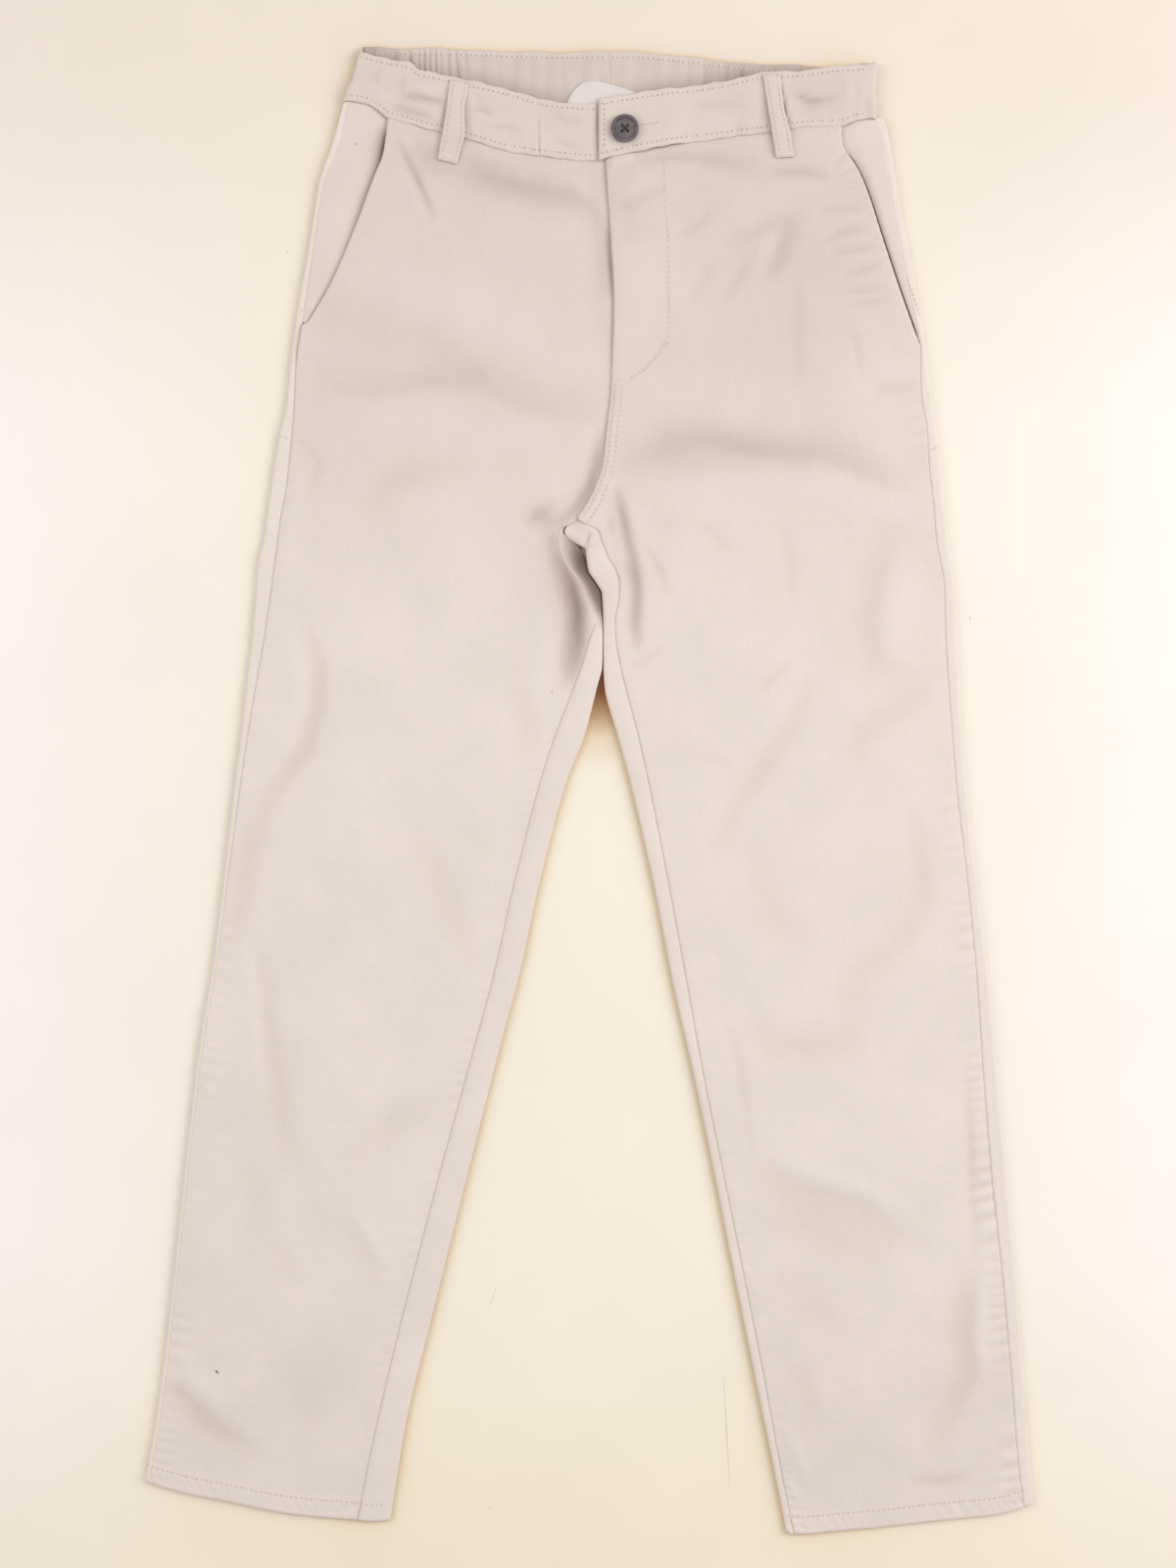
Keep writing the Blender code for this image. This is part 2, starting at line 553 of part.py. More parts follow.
def make_belt_loops(collection, look):
    on_band = FRONT_BAND_Z + BAND / 2 + LAYER_GAP + CLOTH / 2
    on_front = LAYER["middle"](400) + CLOTH + LAYER_GAP + 0.1
    front_heights = [on_band + arch for arch in LOOP_ARCH]
    front_heights += [mix(on_band, on_front, 0.6), on_front]
    for name, loop in FRONT_LOOPS.items():
        cloth_piece("belt_loop_front_" + name, loop_rows(loop, front_heights), CLOTH,
                    collection, look)
    for name, loop in BACK_LOOPS.items():
        cloth_piece("belt_loop_back_" + name, loop_rows(loop, [CLOTH / 2] * 5), CLOTH,
                    collection, look)


# The button and the label

def make_button(collection, cutters, look):
    """A four-hole button with a raised rim, turned from its profile."""
    rim = BUTTON_RADIUS - BUTTON_RIM
    profile = ((0.0, BUTTON_HEIGHT - BUTTON_DISH), (rim - 0.8, BUTTON_HEIGHT - BUTTON_DISH),
               (rim, BUTTON_HEIGHT - 0.2), (rim + 0.6, BUTTON_HEIGHT),
               (BUTTON_RADIUS - 0.4, BUTTON_HEIGHT - 0.2), (BUTTON_RADIUS, BUTTON_HEIGHT - 0.8),
               (BUTTON_RADIUS, 1.0), (BUTTON_RADIUS - 1.4, 0.0), (0.0, 0.0))
    mesh = bpy.data.meshes.new("button")
    form = bmesh.new()
    points = [form.verts.new((r * MM, 0.0, z * MM)) for r, z in profile]
    for a, b in zip(points, points[1:]):
        form.edges.new((a, b))
    form.to_mesh(mesh)
    form.free()
    button = add_object("button", mesh, collection, look)
    button.location = (BUTTON_PLACE[0] * MM, BUTTON_PLACE[1] * MM,
                       (LAP_BAND_Z + BAND / 2 + 0.3) * MM)
    turn = button.modifiers.new("turn", "SCREW")
    turn.steps = turn.render_steps = 32
    turn.use_merge_vertices = True
    turn.merge_threshold = 0.00001
    holes = bpy.data.meshes.new("button_holes")
    form = bmesh.new()
    for x in (-0.5, 0.5):
        for y in (-0.5, 0.5):
            made = bmesh.ops.create_cone(form, cap_ends=True, segments=8,
                                         radius1=BUTTON_HOLE_RADIUS * MM,
                                         radius2=BUTTON_HOLE_RADIUS * MM,
                                         depth=3 * BUTTON_HEIGHT * MM)
            bmesh.ops.translate(form, verts=made["verts"],
                                vec=(x * BUTTON_HOLE_PITCH * MM, y * BUTTON_HOLE_PITCH * MM, 0.0))
    form.to_mesh(holes)
    form.free()
    cutter = bpy.data.objects.new("button_holes", holes)
    cutters.objects.link(cutter)
    cutter.parent = button
    cutter.hide_render = True
    cutter.display_type = "WIRE"
    cut = button.modifiers.new("holes", "BOOLEAN")
    cut.operation = "DIFFERENCE"
    cut.object = cutter


def make_label(collection, look):
    """The blank half-round tab on the inside of the back waistband."""
    z = BACK_BAND_Z + BAND / 2 + SEAM_GAP + TAPE / 2
    rows = []
    for s in LABEL_DEPTHS:
        half = max(LABEL_RADIUS * math.sqrt(1 - max(s, 0.0) ** 2), LABEL_TIP)
        rows.append([(LABEL_PLACE[0] + half * t, LABEL_PLACE[1] + LABEL_RADIUS * s, z)
                     for t in (-1.0, -0.5, 0.0, 0.5, 1.0)])
    cloth_piece("label", rows, TAPE, collection, look)


def main():
    for old in list(bpy.data.objects):
        bpy.data.objects.remove(old)
    trousers = bpy.data.collections.new("chino_trousers")
    cutters = bpy.data.collections.new("cutters")
    for made in (trousers, cutters):
        bpy.context.scene.collection.children.link(made)

    twill = material("beige_twill", (0.73, 0.63, 0.57), 0.9)
    band_twill = material("waistband_twill", (0.70, 0.60, 0.53), 0.9)
    tape = material("zip_tape", (0.66, 0.57, 0.50), 0.8)
    horn = material("button_horn", (0.10, 0.085, 0.08), 0.4)
    white = material("label_white", (0.85, 0.84, 0.82), 0.8)

    make_backs(trousers, twill)
    make_pocket_facings(trousers, twill)
    make_fly(trousers, twill, tape)
    make_fronts(trousers, twill)
    make_back_band(trousers, band_twill)
    make_front_band(RIGHT, "right", LAP_END, trousers, band_twill)
    make_front_band(LEFT, "left", LAP_START, trousers, band_twill)
    make_belt_loops(trousers, band_twill)
    make_label(trousers, white)
    make_button(trousers, cutters, horn)


main()
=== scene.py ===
"""Cotton-twill chino trousers laid flat, front up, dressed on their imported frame.

Each leg is a flattened tube: the back panel starts at the side seam on top, rolls round the outer
fold, lies on the ground, rolls round the inner fold and ends at the inseam on top, and the front
panel closes the tube. Right and left are the wearer's, so right is -X. Tables are in millimetres.
"""

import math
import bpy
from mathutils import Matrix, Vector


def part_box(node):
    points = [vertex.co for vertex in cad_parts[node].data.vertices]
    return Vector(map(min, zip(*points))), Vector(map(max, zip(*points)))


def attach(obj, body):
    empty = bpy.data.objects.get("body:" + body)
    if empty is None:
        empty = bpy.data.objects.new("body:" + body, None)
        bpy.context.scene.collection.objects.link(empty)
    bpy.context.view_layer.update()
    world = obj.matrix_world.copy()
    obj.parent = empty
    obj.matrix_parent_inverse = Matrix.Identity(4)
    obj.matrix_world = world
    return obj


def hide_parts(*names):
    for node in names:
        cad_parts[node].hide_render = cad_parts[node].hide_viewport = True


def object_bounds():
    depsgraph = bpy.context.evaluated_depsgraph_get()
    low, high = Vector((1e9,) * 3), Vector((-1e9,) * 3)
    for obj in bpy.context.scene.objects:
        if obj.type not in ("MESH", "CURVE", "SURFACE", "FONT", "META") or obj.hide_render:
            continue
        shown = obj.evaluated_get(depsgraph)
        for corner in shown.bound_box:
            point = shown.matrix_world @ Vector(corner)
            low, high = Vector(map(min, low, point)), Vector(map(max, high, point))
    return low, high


bl_info = {
    "name": "Flat-laid Chino Trousers",
    "version": (1, 0, 0),
    "blender": (4, 5, 0),
    "location": "View3D > Sidebar > Chinos",
    "description": "Makes the cloth, creases, stitches and fittings of a pair of chinos laid flat",
    "category": "Add Mesh",
}

from collections import namedtuple

import bmesh
import bpy
import numpy as np
from bpy.props import FloatProperty, FloatVectorProperty, PointerProperty
from mathutils import Vector
from mathutils.bvhtree import BVHTree

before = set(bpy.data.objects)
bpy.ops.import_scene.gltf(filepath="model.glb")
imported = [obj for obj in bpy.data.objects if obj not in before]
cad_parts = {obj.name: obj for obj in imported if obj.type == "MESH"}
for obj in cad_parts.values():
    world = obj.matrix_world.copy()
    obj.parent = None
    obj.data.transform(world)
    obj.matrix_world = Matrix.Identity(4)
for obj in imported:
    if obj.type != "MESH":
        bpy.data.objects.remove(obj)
CAD_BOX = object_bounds()

MM = 0.001
RIGHT, LEFT = -1, 1
SIDES = {RIGHT: "right", LEFT: "left"}

CLOTH = 1.2               # wall of the frame's panels, which the heights below are set by
BAND = 1.6                # wall of its waistband
SEAM_GAP = 0.35           # clearance between two panels sewn to each other
BAND_HEIGHT = 34.0
BAND_TAIL = 8.0           # how far the front waistband runs on under its fold
BACK_LIFT = 1.55          # the back's waist lies on the back belt loops
BACK_BAND_Z = 2.35
FRONT_BAND_Z = 5.1
LAP_BAND_Z = 7.0          # where the left end laps over the right end
LAP_START, LAP_END, LAP_FLAT, LAP_FOOT = 5.5, 37.5, 46.0, 64.0
FLY_UNDERLAP = 8.0
FLY_FOOT = 262.0
FACING_INSIDE = 24.0      # pocket facing hidden under the front
POCKET_LIFT = 1.7         # the front lies higher where the pocket facing is under it
POCKET_LIFT_END, POCKET_LIFT_GONE = 272.0, 254.0
CREVICE_Z = 2.15
CROTCH_Y = 166.0

# ---------------------------------------------------------------- lines of the garment

def table(kind, *rows):
    """The rows of a table, with named columns."""
    return tuple(kind(*row) for row in rows)


def creases(*rows):
    """A table of creases: each row is height, width, lean and then the points of its run."""
    return tuple(Crease(*row[:3], row[3:]) for row in rows)


Section = namedtuple("Section", "y edge side inner fold")
SECTIONS = {
    RIGHT: table(
        Section,
        (431, -148.5, -146.0, 9.3, 11.5), (421, -151.3, -148.8, 9.3, 11.5),
        (398, -157.8, -153.6, 9.3, 11.3), (372, -166.5, -163.6, 9.9, 11.0),
        (338, -171.9, -169.0, 12.0, 10.5), (290, -180.3, -175.6, 14.2, 9.5),
        (254, -184.8, -180.8, 12.9, 8.0), (237, -186.3, -181.5, 11.8, 7.0),
        (213, -191.7, -183.3, 9.0, 5.0), (183, -196.3, -186.5, 2.0, -1.0),
        (171, -198.0, -188.8, -4.5, -7.0), (166, -198.7, -189.7, -8.2, -11.4),
        (158, -199.5, -190.8, -19.2, -16.9), (150, -201.2, -191.9, -19.2, -7.7),
        (142, -203.4, -192.9, -17.0, -3.5), (134, -204.2, -194.0, -12.3, -2.2),
        (127, -204.8, -195.0, -7.3, 2.6), (120, -205.2, -195.9, -3.7, 6.3),
        (112, -205.9, -197.0, 0.3, 6.9), (103, -206.8, -198.4, 3.0, 7.4),
        (92, -207.6, -200.0, -0.6, 7.6), (76, -209.6, -202.8, -5.4, 7.3),
        (63, -211.2, -205.1, -10.2, 4.2), (33, -214.5, -210.1, -21.9, -3.6),
        (3, -218.4, -214.5, -31.5, -15.3), (-57, -225.3, -222.6, -46.8, -31.2),
        (-117, -233.1, -230.4, -60.3, -44.4), (-147, -238.5, -235.8, -68.4, -52.6),
        (-237, -249.3, -246.6, -93.0, -75.6), (-327, -258.8, -256.1, -116.4, -98.1),
        (-387, -266.4, -263.7, -130.6, -112.8),
        (-424, -272.7, -270.0, -138.4, -119.0),
        (-448, -275.0, -272.3, -143.0, -122.7),
    ),
    LEFT: table(
        Section,
        (431, 177.0, 174.3, 9.3, 11.5), (418, 174.9, 172.2, 9.3, 11.5),
        (408, 180.9, 177.0, 9.3, 11.4), (389, 184.5, 180.6, 9.3, 11.3),
        (351, 191.1, 186.5, 11.4, 10.7), (297, 201.3, 197.0, 14.2, 9.8),
        (268, 205.5, 201.9, 13.5, 8.8), (243, 208.8, 202.6, 12.3, 7.4),
        (221, 211.6, 206.1, 9.9, 6.0), (199, 214.6, 207.4, 7.4, 3.0),
        (183, 216.0, 209.1, 2.0, -1.0), (171, 217.2, 210.3, -4.5, -7.0),
        (166, 217.6, 210.7, -7.8, -10.8), (158, 218.3, 211.4, 5.0, -16.0),
        (154, 218.7, 211.8, 6.4, -13.6), (150, 219.1, 212.2, 7.8, -7.4),
        (147, 219.5, 212.8, 9.0, -3.0), (142, 220.2, 213.8, 11.0, -2.5),
        (134, 221.4, 215.4, 15.7, -1.2), (127, 222.3, 216.6, 17.7, 3.3),
        (120, 223.2, 216.9, 17.7, 7.0), (103, 224.4, 217.2, 15.2, 7.8),
        (92, 224.7, 217.5, 15.6, 7.8), (76, 225.2, 218.4, 18.4, 7.9),
        (63, 225.7, 219.3, 21.4, 8.6), (33, 227.7, 221.7, 29.3, 16.5),
        (3, 230.1, 224.1, 36.0, 24.6), (-57, 236.7, 231.0, 47.7, 38.4),
        (-117, 243.9, 236.7, 58.8, 50.1), (-177, 249.4, 240.7, 69.6, 63.6),
        (-237, 254.9, 245.5, 81.7, 76.1), (-297, 260.5, 252.0, 93.8, 88.0),
        (-357, 265.0, 257.5, 105.6, 100.1), (-417, 269.3, 262.5, 116.7, 112.4),
        (-456, 273.4, 268.0, 124.5, 120.2),
    ),
}

Height = namedtuple("Height", "y strip middle lap under inner")
HEIGHTS = table(
    Height,
    (421, 3.9, 4.9, 6.05, 4.45, 3.3), (384, 3.4, 4.8, 6.05, 4.45, 3.3),
    (300, 3.2, 4.6, 6.05, 4.45, 3.3), (254, 3.2, 4.6, 6.05, 4.45, 3.3),
    (237, 3.2, 4.5, 5.60, 4.00, 3.3), (197, 3.2, 4.4, 5.60, 3.90, 3.4),
    (166, 3.2, 4.3, 5.80, 3.60, 4.6), (150, 3.2, 4.2, 5.40, 4.80, 5.2),
    (120, 3.2, 4.1, 4.80, 4.80, 4.6), (92, 3.2, 4.0, 4.10, 4.10, 4.0),
    (33, 3.2, 3.9, 3.30, 3.30, 3.4), (-380, 3.2, 3.5, 3.20, 3.20, 3.2),
    (-460, 3.2, 3.1, 3.10, 3.10, 3.1),
)

EdgePoint = namedtuple("EdgePoint", "y x")
POCKET_LINES = {
    RIGHT: table(
        EdgePoint,
        (412, -123.4), (390, -126.4), (374, -132.5), (344, -143.7), (309, -158.9), (284, -173.7),
    ),
    LEFT: table(
        EdgePoint,
        (412, 153.2), (401, 153.2), (394, 153.9), (389.5, 156.6), (379, 163.6), (363, 170.2),
        (340, 177.6), (308, 188.2), (273, 200.6),
    ),
}

HemPoint = namedtuple("HemPoint", "x y")
HEM_LINES = {
    RIGHT: table(
        HemPoint,
        (-273, -423.4), (-251, -430.0), (-219, -436.5), (-186, -443.1), (-153, -446.4), (-132, -448.0),
        (-122, -447.3),
    ),
    LEFT: table(
        HemPoint,
        (119, -453.0), (123, -456.0), (150, -454.0), (183, -450.9), (215, -447.3), (247, -444.3),
        (258, -441.9), (273, -437.0),
    ),
}
HEM_LEVEL, WAIST_LEVEL = -445.0, 400.0
HEM_FADE, WAIST_FADE = (-400.0, -300.0), (290.0, 392.0)

BandPoint = namedtuple("BandPoint", "x top seam")
FRONT_BANDS = {
    RIGHT: table(
        BandPoint,
        (-151.2, 451.5, 421.5), (-138.9, 450.2, 420.4), (-130.5, 448.0, 416.6), (-122.7, 446.6, 410.8),
        (-110.5, 444.2, 407.4), (-105.5, 440.0, 405.8), (-90.5, 437.0, 402.4), (-79.0, 434.4, 399.3),
        (-50.0, 427.7, 390.8), (-24.9, 420.9, 387.1), (3.0, 419.0, 384.8), (20.0, 422.3, 389.0),
        (42.0, 426.0, 394.2),
    ),
    LEFT: table(
        BandPoint,
        (5.5, 421.5, 384.9), (30.3, 425.4, 390.9), (57.9, 429.3, 395.7), (79.5, 432.3, 398.5),
        (105.9, 438.1, 402.1), (131.7, 439.6, 405.3), (153.9, 442.6, 406.5), (163.5, 443.0, 409.8),
        (176.0, 444.5, 411.0),
    ),
}
BAND_ENDS = {RIGHT: (-141.3, -151.2), LEFT: (175.9, 174.8)}
BackPoint = namedtuple("BackPoint", "x top")
BACK_BAND = table(
    BackPoint,
    (-141.0, 454.6), (-115.0, 453.6), (-72.0, 453.0), (-25.0, 451.6), (23.7, 451.6), (70.5, 447.5),
    (112.5, 443.4), (145.0, 442.6), (176.0, 444.6),
)

LoopRow = namedtuple("LoopRow", "left_x left_y right_x right_y")
FRONT_LOOPS = {
    "right": table(
        LoopRow,
        (-85.6, 433.4, -74.4, 431.4), (-87.3, 419.4, -77.4, 414.0),
        (-89.5, 404.1, -76.9, 401.3), (-91.4, 394.5, -79.4, 391.6),
        (-93.0, 385.4, -81.9, 382.4),
    ),
    "left": table(
        LoopRow,
        (105.4, 437.0, 115.7, 436.2), (108.6, 417.6, 117.8, 416.1),
        (111.0, 402.2, 121.9, 400.4), (112.6, 393.2, 123.0, 392.4),
        (113.7, 386.4, 124.5, 386.9),
    ),
}
BACK_LOOPS = {
    "centre": table(
        LoopRow,
        (6.3, 451.0, 16.7, 451.0), (6.3, 411.0, 16.7, 411.0),
    ),
    "right": table(
        LoopRow,
        (-93.2, 452.2, -82.8, 452.6), (-96.2, 411.6, -85.8, 412.4),
    ),
    "left": table(
        LoopRow,
        (106.8, 443.0, 117.2, 442.2), (109.8, 404.4, 120.2, 403.6),
    ),
}

# ---------------------------------------------------------------- creases

# A crease runs through its points. A ridge has a positive height and a hollow a negative one.
# width is its half width, and lean makes it steeper on one side: to the left of its run above
# zero, to the right below zero.
Crease = namedtuple("Crease", "height width lean points")
FRONT_CREASES = creases(
    # right hip
    (1.2, 4.5, 0.3, (-122, 394), (-113, 380), (-106, 364), (-101, 348)),
    (-1.7, 3.2, 0.35, (-119, 398), (-108, 378), (-101, 362), (-95, 348)),
    (-0.9, 9, 0.2, (-112, 396), (-100, 388), (-92, 374)),
    (-1.6, 7, 0.4, (-78, 386), (-57, 372), (-32, 366), (-12, 363), (-2, 357), (6, 344)),
    (0.7, 4, 0.0, (-48, 383), (-30, 380), (-12, 373), (2, 366)),
    (-0.8, 5, 0.0, (3, 354), (6, 330), (8, 298)),
    (0.9, 13, 0.0, (-136, 310), (-90, 298), (-50, 282), (-30, 270)),
    (-0.8, 9, 0.0, (-120, 283), (-95, 270), (-58, 252)),
    (-1.3, 9, -0.4, (-176, 250), (-138, 242), (-101, 249), (-67, 246), (-42, 234), (-10, 229), (6, 227)),
    (0.7, 12, 0.0, (-170, 226), (-110, 226), (-60, 216), (-20, 212)),
    (-0.8, 10, 0.0, (-144, 166), (-123, 187), (-101, 196), (-70, 198)),
    (-0.8, 3.5, 0.0, (-180, 218), (-167, 199), (-174, 178)),
    (0.6, 8, 0.0, (-184, 200), (-185, 160), (-183, 108)),
    # round the crotch, right
    (-1.7, 4.5, -0.2, (5, 215), (-2, 187), (-12, 172), (-24, 161)),
    (-0.9, 4.2, 0.0, (-42, 160), (-32, 168), (-22, 175)),
    (-1.0, 5.5, 0.0, (-38, 174), (-28, 161), (-22, 148)),
    (-2.0, 6, 0.2, (-23, 156), (-18, 140), (-12.5, 125), (-8.5, 108), (-8.5, 91), (-13, 66)),
    (0.5, 2.2, 0.0, (-17, 156), (-14, 146), (-8, 131), (0, 116), (3, 104)),
    (0.6, 10, 0.0, (-42, 150), (-34, 120), (-28, 90), (-34, 50)),
    (-0.7, 8, 0.0, (-44, 82), (-42, 58), (-38, 10)),
    # right thigh, knee and shin
    (-1.4, 7.5, 0.3, (-177, 102), (-166, 77), (-167, 52), (-174, 24), (-193, -1), (-204, -18)),
    (-0.9, 8, 0.0, (-196, -4), (-208, -34), (-215, -68), (-222, -103)),
    (0.9, 7, 0.0, (-185, 104), (-178, 74), (-179, 50), (-187, 26), (-206, 2)),
    (-0.9, 7.5, 0.0, (-203, -90), (-199, -139), (-192, -181), (-185, -223), (-183, -242)),
    (0.6, 6, 0.0, (-212, -90), (-207, -139), (-200, -184)),
    (-0.6, 10, 0.0, (-108, -20), (-96, -50), (-86, -70), (-70, -116)),
    (0.5, 14, 0.0, (-150, 60), (-146, 0), (-152, -60)),
    (-0.5, 11, 0.0, (-90, -190), (-120, -205), (-156, -236)),
    (-0.6, 8.5, 0.2, (-155, -260), (-143, -276), (-133, -294), (-130, -312)),
    (0.6, 5, 0.0, (-146, -256), (-136, -272), (-125, -292)),
    (-0.5, 9, 0.0, (-214, -210), (-204, -250), (-198, -288)),
    (-0.45, 8, 0.0, (-196, -276), (-188, -290), (-180, -306)),
    (-1.1, 8.5, 0.35, (-264, -350), (-250, -371), (-234, -386.5), (-216, -397), (-203, -411)),
    (0.9, 7, 0.0, (-258, -342), (-240, -364), (-220, -379)),
    (-0.5, 10, 0.0, (-180, -345), (-174, -370), (-172, -394)),
    # left hip, below the waistband
    (-1.1, 3.0, 0.0, (12, 375), (19, 378), (27, 384), (45, 387), (66, 386), (92, 382)),
    (0.9, 2.8, 0.0, (11, 381), (18, 384.5), (27, 389)),
    (-1.0, 3.0, 0.0, (13, 358), (22, 356), (31, 362), (47, 368)),
    (0.7, 3.0, 0.0, (13, 366), (24, 366), (36, 374)),
    (-1.0, 3.5, 0.2, (52, 337), (64, 345), (74, 354)),
    (-1.1, 5, 0.2, (78, 335), (100, 341), (120, 350), (134, 353)),
    (-1.4, 5.5, 0.2, (107, 309), (112, 321), (117, 332), (124, 350)),
    (0.8, 6, 0.0, (95, 312), (104, 328), (110, 343)),
    (-0.8, 4.5, 0.0, (126, 313), (126, 277), (127, 241)),
    (-1.4, 3.2, 0.0, (109, 376.5), (126, 377.6), (145, 375)),
    (0.9, 4.5, 0.0, (105, 370), (126, 370.5), (147, 368)),
    (-0.9, 4, 0.0, (80, 296), (90, 313), (102, 333)),
    (-0.6, 4, 0.0, (58, 294), (68, 310), (77, 327)),
    # pulled in by the left pocket's stitching
    (-1.1, 2.3, 0.0, (138, 353), (152, 355.5), (167, 355)),
    (0.9, 2.3, 0.0, (141, 346), (155, 349), (168, 350)),
    (-1.4, 2.3, 0.0, (142, 335), (155, 341), (170, 344)),
    (-1.2, 2.1, 0.0, (146, 327), (160, 330), (174, 331)),
    (0.9, 2.1, 0.0, (148, 322), (162, 325), (175, 326)),
    (-1.2, 2.3, 0.0, (154, 313), (165, 317), (178, 320)),
    (-1.0, 2.0, 0.0, (151, 304), (166, 305), (182, 307)),
    (-1.0, 2.0, 0.0, (157, 296), (170, 298), (184, 300)),
    (-0.6, 3, 0.0, (160, 282), (163, 268), (165, 250)),
    (-0.8, 4.5, 0.0, (170, 249), (182, 245), (198, 246)),
    (0.9, 6, 0.0, (172, 256), (184, 256), (200, 258)),
    (-1.4, 9, -0.35, (15, 195), (30, 203), (47, 214), (67, 214.5), (92, 209), (120, 203), (140, 205),
     (157, 198), (182, 187), (203, 186)),
    (0.8, 9, 0.0, (40, 190), (100, 188), (150, 180), (198, 170)),
    # round the crotch, left
    (-2.0, 4.2, 0.2, (16, 185), (20.8, 162), (25.5, 140), (28.6, 121), (27, 99), (30, 84)),
    (0.9, 3.5, 0.0, (9, 192), (13, 172), (18, 152), (21, 134)),
    (-0.9, 3.5, 0.0, (32, 151), (42.7, 130.5), (46, 116)),
    (-0.7, 3.2, 0.0, (23, 73), (34, 80), (45, 85)),
    (-0.6, 4, 0.0, (117, 166), (121, 138), (124, 110)),
    (-0.5, 5, 0.0, (66, 163), (76, 154), (85, 144)),
    # left thigh, knee and shin
    (-1.2, 10, 0.25, (191, 167), (180, 146), (173, 124), (170, 99), (174, 78), (187, 69), (207, 64)),
    (0.7, 9, 0.0, (202, 140), (190, 122), (184, 100), (192, 84)),
    (-0.9, 8.5, 0.0, (208, 60), (186, 49), (168, 34), (155, 14)),
    (-0.8, 3.2, 0.0, (124, 79), (111, 68), (97, 54)),
    (-0.9, 8, 0.2, (136, 72), (124, 43), (111, 21), (92.6, -7), (80, -32), (72, -48)),
    (0.5, 7, 0.0, (127, 72), (114, 44), (100, 18)),
    (-0.35, 4.5, 0.0, (47, 29), (66, 19), (91, 12)),
    (-0.5, 6, 0.0, (195, -6), (200, -36), (202, -68)),
    (-0.5, 11, 0.0, (101, -28), (104, -58), (112, -80), (136, -94)),
    (-0.75, 10, 0.0, (202, -34), (202, -72), (185, -97), (163, -114), (158, -139), (164, -154)),
    (-0.8, 12, 0.0, (90, -143), (115, -156), (143, -159), (170, -154)),
    (-0.5, 3.4, 0.0, (80, -131), (90, -167), (95, -200), (97, -230)),
    (-0.9, 11, 0.4, (95, -227), (129, -245), (162, -254), (182, -270), (206, -281)),
    (-0.7, 14, 0.0, (108, -260), (140, -272), (182, -292)),
    (0.6, 6, 0.0, (112, -226), (140, -236), (172, -246), (198, -262)),
    (-0.9, 3.6, 0.0, (230, -163), (231, -200), (233, -245), (235, -290)),
    (-1.0, 8.5, 0.35, (236, -280), (232.7, -304), (230, -332), (232.7, -360), (225, -375), (215, -396),
     (208, -409)),
    (0.7, 5, 0.0, (242, -280), (239, -310), (238, -340), (242, -364)),
    (-0.75, 4, 0.0, (192, -423), (212, -424), (235, -420.5)),
    (-0.5, 7, 0.0, (123, -348), (133, -372), (140, -394)),
    (-0.5, 12, 0.0, (112, -290), (130, -312), (156, -332)),
    (0.6, 3.5, 0.0, (119, -390), (127, -408), (135, -425)),
    (0.6, 3, 0.0, (117, -418), (124, -430), (131, -441)),
)
# The back's creases lift it off the ground, so they are all ridges.
BACK_CREASES = creases(
    (1.0, 12, 0.2, (-150, 330), (-100, 290), (-40, 268)),
    (0.8, 10, 0.0, (-120, 250), (-80, 222), (-30, 205)),
    (1.1, 9, -0.2, (-30, 150), (-44, 118), (-52, 70)),
    (0.8, 10, 0.0, (-190, 90), (-140, 60), (-90, 52)),
    (0.9, 9, 0.2, (-214, 0), (-160, -18), (-104, -10)),
    (0.7, 10, 0.0, (-225, -90), (-180, -110), (-120, -104)),
    (0.6, 12, 0.0, (-230, -230), (-200, -290), (-180, -360)),
    (1.0, 12, -0.2, (160, 320), (108, 282), (50, 262)),
    (0.8, 10, 0.0, (140, 240), (90, 214), (40, 202)),
    (1.1, 9, 0.2, (34, 146), (48, 112), (58, 64)),
    (0.8, 10, 0.0, (200, 82), (150, 58), (98, 50)),
    (0.9, 9, -0.2, (222, -8), (168, -26), (110, -20)),
    (0.6, 12, 0.0, (236, -140), (190, -160), (140, -150)),
    (0.6, 12, 0.0, (240, -240), (210, -300), (180, -370)),
)
